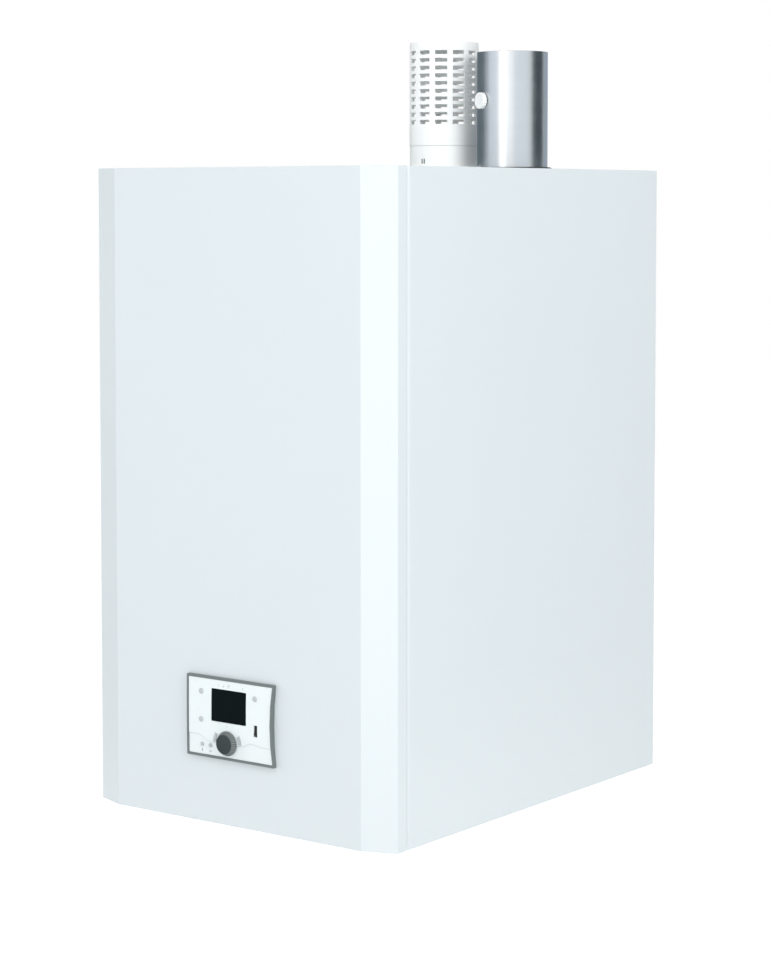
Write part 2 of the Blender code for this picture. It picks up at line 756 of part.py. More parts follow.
def make_top_panel():
    outline = tray_outline()
    panel = prism(outline, "Z", TOP - FLANGE, TOP)
    cut(panel, prism(offset(outline, SHEET), "Z", TOP - FLANGE - CUT_PAST, TOP - SHEET))
    low, high = TOP - SHEET - CUT_PAST, TOP + CUT_PAST
    air_hole = DUCT_RADIUS - COLLAR_STEP + DUCT_HOLE_CLEARANCE
    cut(
        panel,
        rod((AIR_X, DUCT_Y), air_hole, "Z", low, high, steps=DUCT_FACETS),
        rod((FLUE_X, DUCT_Y), DUCT_RADIUS + FLUE_SEAL_NECK + GAP, "Z", low, high, steps=DUCT_FACETS),
    )
    return named(panel, "top_panel", "white_paint")


def connections():
    """What leaves through the bottom: the centre and the radius of each."""
    return {
        "flow": ((WATER_PIPE_X, -FLOW_FROM_WALL), WATER_PIPE_RADIUS),
        "return": ((WATER_PIPE_X, -RETURN_FROM_WALL), WATER_PIPE_RADIUS),
        "gas": (GAS_CONNECTION, GAS_PIPE_RADIUS),
        "drain": ((TRAP_X, -TRAP_FROM_WALL), DRAIN_RADIUS),
        "gland": (GLAND_AT, GLAND_RADIUS),
    }


def make_bottom_panel():
    outline = tray_outline()
    panel = prism(outline, "Z", BOTTOM, BOTTOM + FLANGE)
    cut(panel, prism(offset(outline, SHEET), "Z", BOTTOM + SHEET, BOTTOM + FLANGE + CUT_PAST))
    for name, (centre, radius) in connections().items():
        clearance = GAP if name == "gland" else PIPE_HOLE_CLEARANCE
        cut(panel, rod(centre, radius + clearance, "Z", BOTTOM - CUT_PAST, BOTTOM + SHEET + CUT_PAST))
    return named(panel, "bottom_panel", "white_paint")


def make_back_panel():
    """A plate with flanges towards the wall, in front of the rail and the hook."""
    path = [
        (BETWEEN_SIDES, -SHEET - GAP),
        (BETWEEN_SIDES, INNER_BACK),
        (-BETWEEN_SIDES, INNER_BACK),
        (-BETWEEN_SIDES, -SHEET - GAP),
    ]
    outline = strip([(-x, y) for x, y in path], SHEET)
    return named(prism(outline, "Z", BOTTOM, TOP), "back_panel", "galvanised_steel")


def make_wall_rail():
    path = [
        (0, -RAIL_LEG_BELOW),
        (0, RAIL_LEG_ABOVE),
        (-RAIL_STANDOFF, RAIL_LEG_ABOVE),
        (-RAIL_STANDOFF, RAIL_LEG_ABOVE + RAIL_LIP),
    ]
    profile = strip(path, RAIL_THICKNESS, [0, RAIL_FOLD_RADIUS, RAIL_FOLD_RADIUS, 0])
    rail = prism(profile, "X", -RAIL_LENGTH / 2, RAIL_LENGTH / 2)
    for k in (-1.5, -0.5, 0.5, 1.5):
        centre = (k * RAIL_SLOT_SPACING / 1.5, -RAIL_LEG_BELOW / 4)
        slot = rectangle(centre, RAIL_SLOT_LENGTH, RAIL_SLOT_WIDTH, RAIL_SLOT_WIDTH / 2.01)
        cut(rail, prism(slot, "Y", -RAIL_THICKNESS - CUT_PAST, CUT_PAST))
    return named(rail, "wall_rail", "galvanised_steel")


def make_hanger_hook():
    """A strip that goes up the casing's back, over the rail's lip and down behind it."""
    top = RAIL_LEG_ABOVE + RAIL_LIP + GAP
    behind_lip = -RAIL_STANDOFF + GAP
    path = [
        (HOOK_FRONT + HOOK_THICKNESS, top - HOOK_LEG),
        (HOOK_FRONT + HOOK_THICKNESS, top),
        (behind_lip, top),
        (behind_lip, RAIL_LEG_ABOVE + GAP + FOLD_RADIUS),
    ]
    profile = strip(path, HOOK_THICKNESS, 0.0)
    hook = prism(profile, "X", -HOOK_LENGTH / 2, HOOK_LENGTH / 2)
    return named(hook, "hanger_hook", "galvanised_steel")


# Air terminal and flue outlet

def make_air_collar():
    outer = DUCT_RADIUS - COLLAR_STEP
    flat_of_window = math.cos(math.radians(GRILLE_WINDOW_ANGLE / 2))
    spigot = (DUCT_RADIUS - GRILLE_WALL) * flat_of_window - GAP
    bore = spigot - GRILLE_WALL
    under = TOP + GAP + AIR_SEAL_THICKNESS + GAP
    step = TOP + COLLAR_HEIGHT
    profile = [
        (bore, TOP - COLLAR_BELOW),
        (outer, TOP - COLLAR_BELOW),
        (outer, under),
        (outer + COLLAR_FLANGE, under),
        (outer + COLLAR_FLANGE, under + COLLAR_FLANGE_THICKNESS),
        (outer, under + COLLAR_FLANGE_THICKNESS),
        (outer, step),
        (spigot, step),
        (spigot, step + COLLAR_SPIGOT),
        (bore, step + COLLAR_SPIGOT),
    ]
    collar = turned(profile, "Z", (AIR_X, DUCT_Y), steps=DUCT_FACETS)
    low = under + COLLAR_FLANGE_THICKNESS
    for sign in (-1, 1):
        x = AIR_X - COLLAR_SLOTS_LEFT + sign * COLLAR_SLOT_SPACING / 2
        centre = (x, low + COLLAR_SLOT_HEIGHT / 2)
        slot = rectangle(centre, COLLAR_SLOT_WIDTH, COLLAR_SLOT_HEIGHT)
        cut(collar, prism(slot, "Y", DUCT_Y - DUCT_RADIUS - CUT_PAST, DUCT_Y - bore + CUT_PAST))
    return named(collar, "air_collar", "white_plastic")


def make_air_seal():
    inner = DUCT_RADIUS - COLLAR_STEP + GAP
    outer = DUCT_RADIUS - COLLAR_STEP + COLLAR_FLANGE
    low = TOP + GAP
    high = low + AIR_SEAL_THICKNESS
    profile = [(inner, low), (outer, low), (outer, high), (inner, high)]
    return named(turned(profile, "Z", (AIR_X, DUCT_Y), steps=DUCT_FACETS), "air_seal", "black_rubber")


def make_air_grille():
    """The slip-on terminal: a capped sleeve with rows of windows between upright ribs."""
    low = TOP + COLLAR_HEIGHT + GAP
    high = TOP + GRILLE_TOP
    inner = DUCT_RADIUS - GRILLE_WALL
    half_window = math.radians(GRILLE_WINDOW_ANGLE) / 2
    turn = 2 * math.pi / GRILLE_COLUMNS
    angles = []
    for column in range(GRILLE_COLUMNS):
        angles += [column * turn - half_window, column * turn + half_window]
    levels = [low]
    for row in reversed(range(GRILLE_ROWS)):
        middle = high - GRILLE_FIRST_ROW - row * GRILLE_ROW_PITCH
        levels += [middle - GRILLE_WINDOW_HEIGHT / 2, middle + GRILLE_WINDOW_HEIGHT / 2]
    levels.append(high - GRILLE_WALL)

    mesh = bmesh.new()

    def ring(radius, height):
        return [
            mesh.verts.new((AIR_X + radius * math.sin(a), DUCT_Y - radius * math.cos(a), height))
            for a in angles
        ]

    outside = [ring(DUCT_RADIUS, level) for level in levels]
    inside = [ring(inner, level) for level in levels]
    count = len(angles)
    for i in range(len(levels) - 1):
        window_row = i % 2 == 1
        for k in range(count):
            after = (k + 1) % count
            if window_row and k % 2 == 0:
                for level in (i, i + 1):
                    mesh.faces.new(
                        (outside[level][k], outside[level][after], inside[level][after], inside[level][k])
                    )
                for jamb in (k, after):
                    mesh.faces.new(
                        (outside[i][jamb], outside[i + 1][jamb], inside[i + 1][jamb], inside[i][jamb])
                    )
                continue
            for wall in (outside, inside):
                mesh.faces.new((wall[i][k], wall[i][after], wall[i + 1][after], wall[i + 1][k]))

    def bridge(first, second):
        for k in range(count):
            after = (k + 1) % count
            mesh.faces.new((first[k], first[after], second[after], second[k]))

    bridge(outside[0], inside[0])
    mesh.faces.new(inside[-1])
    shoulder = outside[-1]
    for k in range(1, 4):
        lean = math.radians(30 * k)
        radius = DUCT_RADIUS - GRILLE_RIM_ROUND * (1 - math.cos(lean))
        following = ring(radius, high - GRILLE_RIM_ROUND * (1 - math.sin(lean)))
        bridge(shoulder, following)
        shoulder = following
    mesh.faces.new(shoulder)
    return named(blank(mesh), "air_grille", "white_plastic", smooth_angle=25)


def swung(made):
    """The piece turned about the flue's axis, from straight ahead to the port's direction."""
    centre = Vector((FLUE_X, DUCT_Y, 0))
    turn = Matrix.Rotation(math.radians(PORT_TURN), 4, "Z")
    made.data.transform(Matrix.Translation(centre) @ turn @ Matrix.Translation(-centre))
    return made


def make_flue_outlet():
    low, high = TOP - FLUE_BELOW, TOP + FLUE_TOP
    bore = DUCT_RADIUS - FLUE_WALL
    tube = cut(
        rod((FLUE_X, DUCT_Y), DUCT_RADIUS, "Z", low, high, steps=DUCT_FACETS),
        rod((FLUE_X, DUCT_Y), bore, "Z", low - CUT_PAST, high + CUT_PAST, steps=DUCT_FACETS),
    )
    place = (FLUE_X, TOP + PORT_HEIGHT)
    hole = rod(place, PORT_RADIUS + GAP, "Y", DUCT_Y - 2 * DUCT_RADIUS, DUCT_Y, steps=16)
    return named(cut(tube, swung(hole)), "flue_outlet", "stainless_steel")


def make_flue_seal():
    """A grommet that grips the edge of the top panel's hole."""
    inner = DUCT_RADIUS + GAP
    neck = DUCT_RADIUS + FLUE_SEAL_NECK
    rim = DUCT_RADIUS + FLUE_SEAL_LIP
    above, below = TOP + GAP, TOP - SHEET - GAP
    profile = [
        (inner, below - FLUE_SEAL_THICKNESS),
        (rim, below - FLUE_SEAL_THICKNESS),
        (rim, below),
        (neck, below),
        (neck, above),
        (rim, above),
        (neck, above + FLUE_SEAL_THICKNESS),
        (inner, above + FLUE_SEAL_THICKNESS),
    ]
    return named(turned(profile, "Z", (FLUE_X, DUCT_Y), steps=DUCT_FACETS), "flue_seal", "black_rubber")


def make_sampling_port():
    """The hollow stub for the flue gas probe. It goes through the wall of the flue."""
    root = DUCT_Y - DUCT_RADIUS
    mouth, inside = root - PORT_LENGTH, root + 3 * FLUE_WALL
    profile = [(PORT_BORE, inside), (PORT_RADIUS, inside), (PORT_RADIUS, mouth), (PORT_BORE, mouth)]
    made = turned(profile, "Y", (FLUE_X, TOP + PORT_HEIGHT), steps=16)
    return named(swung(made), "sampling_port", "white_plastic")


def fluted(centre, radius, depth, ribs):
    """A round outline with shallow upright flutes."""
    x, z = centre
    points = []
    for k in range(2 * ribs):
        reach = radius - depth * (k % 2)
        angle = math.pi * k / ribs
        points.append((x + reach * math.cos(angle), z + reach * math.sin(angle)))
    return points


def make_sampling_cap():
    """The ribbed cap over the port's mouth. Its skirt ends just clear of the flue."""
    centre = (FLUE_X, TOP + PORT_HEIGHT)
    back = DUCT_Y - DUCT_RADIUS - CAP_CLEAR
    seat = DUCT_Y - DUCT_RADIUS - PORT_LENGTH - GAP
    cap = prism(fluted(centre, CAP_RADIUS, CAP_RIB_DEPTH, CAP_RIBS), "Y", seat - CAP_FACE, back)
    cut(cap, rod(centre, PORT_RADIUS + GAP, "Y", seat, back + CUT_PAST, steps=16))
    turn = math.radians(PORT_TURN)
    reach = DUCT_RADIUS + CAP_CLEAR
    origin = (FLUE_X + reach * math.sin(turn), DUCT_Y - reach * math.cos(turn), TOP + PORT_HEIGHT)
    return named(swung(cap), "sampling_cap", "white_plastic", origin=origin)


# Control panel

def crown(z):
    """How far the panel's face bulges forward at this height from its centre."""
    return PANEL_CROWN * (1 - (z / (PANEL_HEIGHT / 2)) ** 2)


def panel_slab(centre, width, height, front, back, corner=0.0, waists=(0.0, 0.0), rows=4):
    """A block under the panel's crowned face, with its left and right side waisted and rounded corners.

    front and back are distances forward of the cover's face. The crown is added to the front.
    """
    half = height / 2
    arcs = 3 if corner else 0
    reach = half - corner
    heights = [-half + corner * (1 - math.cos(math.pi / 2 * k / arcs)) for k in range(arcs)]
    heights += [reach * (2 * k / rows - 1) for k in range(rows + 1)]
    heights += [-z for z in reversed(heights[:arcs])]
    mesh = bmesh.new()
    loops = []
    for z in heights:
        into_corner = max(0.0, abs(z) - reach)
        trim = corner - math.sqrt(max(0.0, corner**2 - into_corner**2)) if corner else 0.0
        left, right = [width / 2 - trim - waist * (1 - (z / half) ** 2) for waist in waists]
        face = FRONT - front - crown(centre[1] + z)
        x, height_here = PANEL_X + centre[0], PANEL_Z + centre[1] + z
        behind = FRONT - back
        corners = [(x - left, face), (x + right, face), (x + right, behind), (x - left, behind)]
        loops.append([mesh.verts.new((a, b, height_here)) for a, b in corners])
    for low, high in zip(loops, loops[1:]):
        for k in range(4):
            mesh.faces.new((low[k], low[(k + 1) % 4], high[(k + 1) % 4], high[k]))
    mesh.faces.new(loops[0])
    mesh.faces.new(loops[-1])
    return blank(mesh)


def on_panel(place):
    """World x and z of a place given from the panel's centre."""
    return (PANEL_X + place[0], PANEL_Z + place[1])


def make_panel_bezel():
    opening = (PANEL_WIDTH - 2 * BEZEL_BORDER, PANEL_HEIGHT - 2 * BEZEL_BORDER)
    frame = panel_slab(
        (0, 0), PANEL_WIDTH, PANEL_HEIGHT, BEZEL_PROUD, GAP, corner=PANEL_CORNER, waists=PANEL_WAISTS
    )
    inner = PANEL_CORNER / 2
    cut(frame, panel_slab((0, 0), *opening, 2 * BEZEL_PROUD, -CUT_PAST, corner=inner, waists=PANEL_WAISTS))
    return named(frame, "panel_bezel", "grey_plastic")


def fascia_size():
    rim = BEZEL_BORDER + GAP
    return (PANEL_WIDTH - 2 * rim, PANEL_HEIGHT - 2 * rim)


def eased(start, end, steps):
    """Points of a smooth S from one place to another, without the first."""
    points = []
    for k in range(1, steps + 1):
        ease = (1 - math.cos(math.pi * k / steps)) / 2
        points.append((start[0] + (end[0] - start[0]) * k / steps, start[1] + (end[1] - start[1]) * ease))
    return points


def wave_line():
    """The gentle wave of the step across the lower part of the fascia, from its left to its right."""
    half = PANEL_WIDTH / 2
    return [
        (-half, WAVE_FALL_FROM[1]),
        WAVE_FALL_FROM,
        *eased(WAVE_FALL_FROM, WAVE_FALL_TO, 3),
        WAVE_RISE_FROM,
        *eased(WAVE_RISE_FROM, WAVE_CREST, 3),
        *eased(WAVE_CREST, WAVE_SETTLE, 2),
        (half, WAVE_SETTLE[1]),
    ]


def make_panel_fascia():
    width, height = fascia_size()
    front = BEZEL_PROUD - FASCIA_DROP
    plate = panel_slab(
        (0, 0), width, height, front, FASCIA_BACK, corner=PANEL_CORNER / 2, waists=PANEL_WAISTS
    )
    below_wave = [on_panel(point) for point in wave_line()]
    low = PANEL_Z - PANEL_HEIGHT
    outline = [(below_wave[-1][0], low)] + below_wave[::-1] + [(below_wave[0][0], low)]
    ahead, behind = FRONT - PANEL_HEIGHT / 5, FRONT - FASCIA_BACK + CUT_PAST
    skin = prism(outline, "Y", ahead, FRONT - FASCIA_BACK)
    core = panel_slab((0, 0), 2 * width, 2 * height, front - FASCIA_STEP, -CUT_PAST)
    cut(plate, cut(skin, core))
    cut(plate, prism(display_outline(GAP), "Y", ahead, behind))
    cut(plate, rod(on_panel(KNOB_AT), SHAFT_RADIUS + GAP, "Y", ahead, behind, steps=16))
    for buttons, radius in ((ROUND_BUTTONS, BUTTON_RADIUS), (SMALL_BUTTONS, SMALL_BUTTON_RADIUS)):
        for place in buttons.values():
            hole = radius + BUTTON_CLEARANCE
            cut(plate, rod(on_panel(place), hole, "Y", ahead, behind, BUTTON_FACETS))
    for outline in crescents().values():
        cut(plate, prism(offset(outline, -BUTTON_CLEARANCE), "Y", ahead, behind))
    slot = rectangle(on_panel(SWITCH_AT), ROCKER_WIDTH, ROCKER_LENGTH)
    cut(plate, prism(slot, "Y", ahead, behind))
    return named(plate, "panel_fascia", "white_plastic")


def display_outline(margin=0.0):
    width, height = DISPLAY_WIDTH + 2 * margin, DISPLAY_HEIGHT + 2 * margin
    return rectangle(on_panel(DISPLAY_AT), width, height, DISPLAY_CORNER + margin)


def make_display_window():
    front = BEZEL_PROUD - FASCIA_DROP - DISPLAY_DROP
    pane = prism(display_outline(), "Y", FRONT - 2 * BEZEL_PROUD, FRONT - FASCIA_BACK)
    width, height = fascia_size()
    face = panel_slab((0, 0), width, height, front, -CUT_PAST)
    return named(combined(pane, face, "INTERSECT"), "display_window", "dark_glass")


def crescents():
    """The outlines of the two buttons that curve round the knob, by name."""
    x, z = on_panel(KNOB_AT)
    steps = 4
    outlines = {}
    for name, middle in (
        ("button_right_crescent", CRESCENT_MIDDLE_ANGLE),
        ("button_left_crescent", 180 - CRESCENT_MIDDLE_ANGLE),
    ):
        angles = [math.radians(middle + CRESCENT_SPAN * (k / steps - 0.5)) for k in range(steps + 1)]
        inner = [(x + CRESCENT_INNER * math.cos(a), z + CRESCENT_INNER * math.sin(a)) for a in angles]
        outer = [(x + CRESCENT_OUTER * math.cos(a), z + CRESCENT_OUTER * math.sin(a)) for a in angles]
        outlines[name] = outer + inner[::-1]
    return outlines


def middle_of(outline):
    return tuple(sum(point[i] for point in outline) / len(outline) for i in (0, 1))


def button_levels(z):
    """Front face, rim and stem end of a button at this height: distances forward of the cover."""
    face = BEZEL_PROUD - FASCIA_DROP + crown(z) + BUTTON_PROUD
    rim_front = FASCIA_BACK - GAP
    stem_end = -UNIT_BOARD_DEPTH + TACT_HEIGHT + BUTTON_TRAVEL + GAP
    return face, rim_front, stem_end


def make_round_buttons():
    for buttons, radius in ((ROUND_BUTTONS, BUTTON_RADIUS), (SMALL_BUTTONS, SMALL_BUTTON_RADIUS)):
        for name, place in buttons.items():
            face, rim, stem = button_levels(place[1])
            profile = [
                (0, FRONT - face - BUTTON_DOME),
                (radius * 0.75, FRONT - face - BUTTON_DOME * 0.5),
                (radius, FRONT - face + BUTTON_DOME),
                (radius, FRONT - rim),
                (radius + BUTTON_RIM, FRONT - rim),
                (radius + BUTTON_RIM, FRONT - rim + BUTTON_RIM_THICKNESS),
                (BUTTON_STEM, FRONT - rim + BUTTON_RIM_THICKNESS),
                (BUTTON_STEM, FRONT - stem),
                (0, FRONT - stem),
            ]
            x, z = on_panel(place)
            made = turned(profile, "Y", (x, z), steps=BUTTON_FACETS)
            named(made, name, "button_grey", origin=(x, FRONT, z))


def make_crescent_buttons():
    for name, outline in crescents().items():
        x, z = middle_of(outline)
        face, rim, stem = button_levels(z - PANEL_Z)
        made = prism(outline, "Y", FRONT - face, FRONT - rim + BUTTON_RIM_THICKNESS / 2)
        fused(
            made,
            prism(offset(outline, -BUTTON_RIM), "Y", FRONT - rim, FRONT - rim + BUTTON_RIM_THICKNESS),
            rod((x, z), BUTTON_STEM, "Y", FRONT - rim + BUTTON_RIM_THICKNESS / 2, FRONT - stem, steps=12),
        )
        named(made, name, "button_grey", origin=(x, FRONT, z))


def make_selector_knob():
    """The ribbed knob: a fluted cone with a dished face, on a shaft that turns in the encoder."""
    x, z = on_panel(KNOB_AT)
    base = BEZEL_PROUD - FASCIA_DROP + crown(KNOB_AT[1] + KNOB_RADIUS) + GAP
    levels = [
        (KNOB_RADIUS, base, KNOB_RIB_DEPTH),
        (KNOB_RADIUS, base + KNOB_SKIRT, KNOB_RIB_DEPTH),
        (KNOB_FACE_RADIUS + KNOB_RIB_DEPTH, base + KNOB_HEIGHT - KNOB_EDGE, KNOB_RIB_DEPTH),
        (KNOB_FACE_RADIUS, base + KNOB_HEIGHT, 0),
        (KNOB_FACE_RADIUS / 2, base + KNOB_HEIGHT - KNOB_DISH, 0),
    ]
    mesh = bmesh.new()
    rings = [
        [mesh.verts.new((a, FRONT - level, b)) for a, b in fluted((x, z), radius, depth, KNOB_RIBS)]
        for radius, level, depth in levels
    ]
    count = 2 * KNOB_RIBS
    for first, second in zip(rings, rings[1:]):
        for k in range(count):
            after = (k + 1) % count
            mesh.faces.new((first[k], first[after], second[after], second[k]))
    mesh.faces.new(rings[0])
    mesh.faces.new(rings[-1])
    shaft_end = -UNIT_BOARD_DEPTH + ENCODER_BODY + GAP
    shaft = rod((x, z), SHAFT_RADIUS, "Y", FRONT - base - KNOB_HEIGHT / 2, FRONT - shaft_end, steps=16)
    return named(fused(blank(mesh), shaft), "selector_knob", "knob_plastic", origin=(x, FRONT, z))


def make_knob_encoder():
    place = on_panel(KNOB_AT)
    back = -UNIT_BOARD_DEPTH + GAP
    front = back + ENCODER_BODY - GAP
    bush_front = -2 * GAP
    body = prism(rectangle(place, ENCODER_SIZE, ENCODER_SIZE), "Y", FRONT - front, FRONT - back)
    bore = SHAFT_RADIUS + GAP
    root = FRONT - front + ENCODER_WALL
    fused(body, rod(place, bore + ENCODER_WALL, "Y", FRONT - bush_front, root, steps=16))
    cut(body, rod(place, bore, "Y", FRONT - bush_front - CUT_PAST, FRONT - front, steps=16))
    return named(body, "knob_encoder", "galvanised_steel")


def make_power_switch():
    """The narrow rocker, resting with its upper end in. It turns about its pins."""
    x, z = on_panel(SWITCH_AT)
    pivot = Vector((x, FRONT + ROCKER_PIVOT_DEPTH, z))
    reach = ROCKER_PIVOT_DEPTH + BEZEL_PROUD - FASCIA_DROP + crown(SWITCH_AT[1]) - 2 * FASCIA_DROP
    swing = reach * math.sin(math.radians(ROCKER_TILT))
    half = ROCKER_LENGTH / 2 - swing - GAP
    width = ROCKER_WIDTH / 2 - GAP
    outline = [
        (pivot.y - reach, z - half),
        (pivot.y, z - half),
        (pivot.y + ROCKER_ROOT, z - half / 4),
        (pivot.y + ROCKER_ROOT, z + half / 4),
        (pivot.y, z + half),
        (pivot.y - reach, z + half),
        (pivot.y - reach + FASCIA_DROP, z),
    ]
    rocker = prism(outline, "X", x - width, x + width)
    pin = width + GAP + ROCKER_PIN_LENGTH
    fused(rocker, rod((pivot.y, z), ROCKER_PIN_RADIUS, "X", x - pin, x + pin, steps=12))
    tilt = Matrix.Rotation(math.radians(-ROCKER_TILT), 4, "X")
    rocker.data.transform(Matrix.Translation(pivot) @ tilt @ Matrix.Translation(-pivot))
    return named(rocker, "power_switch", "black_plastic", origin=pivot)


def make_switch_body():
    place = on_panel(SWITCH_AT)
    front, back = FASCIA_BACK - GAP, -UNIT_BOARD_DEPTH + GAP
    width = ROCKER_WIDTH + 2 * SWITCH_BODY_WALL
    body = prism(
        rectangle(place, width, ROCKER_LENGTH + 2 * SWITCH_BODY_WALL), "Y", FRONT - front, FRONT - back
    )
    well = rectangle(place, ROCKER_WIDTH, ROCKER_LENGTH)
    depth = ROCKER_PIVOT_DEPTH + ROCKER_ROOT + ROCKER_WELL_SPARE
    cut(body, prism(well, "Y", FRONT - front - CUT_PAST, FRONT + depth))
    bearing = rod(
        (FRONT + ROCKER_PIVOT_DEPTH, place[1]),
        ROCKER_PIN_RADIUS + GAP,
        "X",
        place[0] - ROCKER_WIDTH / 2 - ROCKER_PIN_LENGTH - GAP,
        place[0] + ROCKER_WIDTH / 2 + ROCKER_PIN_LENGTH + GAP,
        steps=12,
    )
    return named(cut(body, bearing), "switch_body", "black_plastic")


def unit_size(margin=0.0):
    trim = 2 * (UNIT_CLEARANCE - margin)
    return (CUTOUT_WIDTH - trim, CUTOUT_HEIGHT - trim)


def board_posts():
    """The four corners where the control unit's board is held."""
    width, height = unit_size(-UNIT_WALL)
    x, z = width / 2 - POST_RADIUS, height / 2 - POST_RADIUS
    return [on_panel((i * x, j * z)) for i in (-1, 1) for j in (-1, 1)]


def make_control_unit_housing():
    """An open box through the cover's cut-out, with a flange that clamps the cover from inside."""
    centre = (PANEL_X, PANEL_Z)
    front, back = FRONT - FASCIA_BACK + GAP, FRONT + UNIT_DEPTH
    housing = prism(rectangle(centre, *unit_size()), "Y", front, back)
    rim = FRONT + SHEET + GAP
    flange = rectangle(centre, CUTOUT_WIDTH + 2 * UNIT_FLANGE, CUTOUT_HEIGHT + 2 * UNIT_FLANGE)
    fused(housing, prism(flange, "Y", rim, rim + UNIT_FLANGE_THICKNESS))
    inside = rectangle(centre, *unit_size(-UNIT_WALL))
    cut(housing, prism(inside, "Y", front - CUT_PAST, back - UNIT_WALL))
    behind_board = FRONT + UNIT_BOARD_DEPTH + BOARD_THICKNESS + GAP
    for place in board_posts():
        fused(housing, rod(place, POST_RADIUS - POST_GAP, "Y", behind_board, back - UNIT_WALL / 2, steps=8))
    return named(housing, "control_unit_housing", "black_plastic")


def make_control_unit_board():
    """The board with its display module and a small switch behind each button."""
    board_front = FRONT + UNIT_BOARD_DEPTH
    overlap = BOARD_THICKNESS / 2
    width, height = unit_size(-UNIT_WALL - GAP)
    board = prism(
        rectangle((PANEL_X, PANEL_Z), width, height), "Y", board_front, board_front + BOARD_THICKNESS
    )
    rim = 2 * MODULE_RIM
    module = rectangle(on_panel(DISPLAY_AT), DISPLAY_WIDTH + rim, DISPLAY_HEIGHT + rim)
    fused(board, prism(module, "Y", FRONT - FASCIA_BACK + GAP, board_front + overlap))
    stems = [on_panel(place) for place in (*ROUND_BUTTONS.values(), *SMALL_BUTTONS.values())]
    stems += [middle_of(outline) for outline in crescents().values()]
    for place in stems:
        tact = rectangle(place, TACT_SIZE, TACT_SIZE)
        fused(board, prism(tact, "Y", board_front - TACT_HEIGHT, board_front + overlap))
    return named(board, "control_unit_board", "circuit_board")


# Heat exchanger, burner and ignition

def make_heat_exchanger():
    """A stack of cast sections: a grooved block with flanges, a burner chamber and two pipe lugs."""
    half = BLOCK_WIDTH / 2 - BLOCK_LIP
    groove = BLOCK_GROOVE_WIDTH / 2
    right = []
    for section in range(BLOCK_SECTIONS):
        start = BLOCK_FRONT + BLOCK_LIP + section * BLOCK_SECTION_PITCH
        end = start + BLOCK_SECTION_PITCH
        if section:
            right += [(half - BLOCK_GROOVE_DEPTH, start), (half, start + groove)]
        else:
            right.append((half, start))
        right.append((half, end if section == BLOCK_SECTIONS - 1 else end - groove))
    left = [(-x, y) for x, y in reversed(right)]
    outline = [(BLOCK_X + x, y) for x, y in right + left]
    body = prism(outline, "Z", BLOCK_BOTTOM + BLOCK_LIP, BLOCK_TOP - BLOCK_LIP)
    flange = rectangle((BLOCK_X, BLOCK_Y), BLOCK_WIDTH, BLOCK_LENGTH)
    lug_high = FLOW_Z + LUG_HEIGHT / 2
    lug_low = RETURN_Z - LUG_HEIGHT / 2
    lug_x = (BLOCK_LEFT - LUG_LENGTH, BLOCK_LEFT + BLOCK_GROOVE_DEPTH * 2)
    fused(
        body,
        prism(flange, "Z", BLOCK_TOP - BLOCK_FLANGE, BLOCK_TOP),
        prism(flange, "Z", BLOCK_BOTTOM, BLOCK_BOTTOM + BLOCK_FLANGE),
        block(
            lug_x,
            (-FLOW_FROM_WALL - LUG_WIDTH / 2, -FLOW_FROM_WALL + LUG_WIDTH / 2),
            (lug_high - LUG_HEIGHT, lug_high),
        ),
        block(
            lug_x,
            (-RETURN_FROM_WALL - LUG_WIDTH / 2, -RETURN_FROM_WALL + LUG_WIDTH / 2),
            (lug_low, lug_low + LUG_HEIGHT),
        ),
    )
    width, length = BLOCK_WIDTH - 2 * CHAMBER_RIM, BLOCK_LENGTH - 2 * CHAMBER_RIM
    chamber = rectangle((BLOCK_X, BLOCK_Y), width, length, CHAMBER_CORNER)
    cut(body, prism(chamber, "Z", BLOCK_TOP - CHAMBER_DEPTH, BLOCK_TOP + CUT_PAST))
    return named(body, "heat_exchanger", "cast_aluminium")


def make_burner():
    """A flanged tub that hangs in the chamber, with its top open to the mixture above."""
    low = BLOCK_TOP + GAP
    plate = prism(rectangle((BLOCK_X, BLOCK_Y), BLOCK_WIDTH, BLOCK_LENGTH), "Z", low, low + BURNER_FLANGE)
    rim = CHAMBER_RIM + BURNER_CLEARANCE
    width, length = BLOCK_WIDTH - 2 * rim, BLOCK_LENGTH - 2 * rim
    outside = rectangle((BLOCK_X, BLOCK_Y), width, length, BURNER_CORNER)
    inside = offset(outside, BURNER_FLANGE)
    fused(plate, prism(outside, "Z", low - BURNER_TUB_DEPTH, low + GAP))
    floor = low - BURNER_TUB_DEPTH + BURNER_FLANGE / 2
    cut(plate, prism(inside, "Z", floor, low + BURNER_FLANGE + CUT_PAST))
    return named(plate, "burner", "stainless_steel")


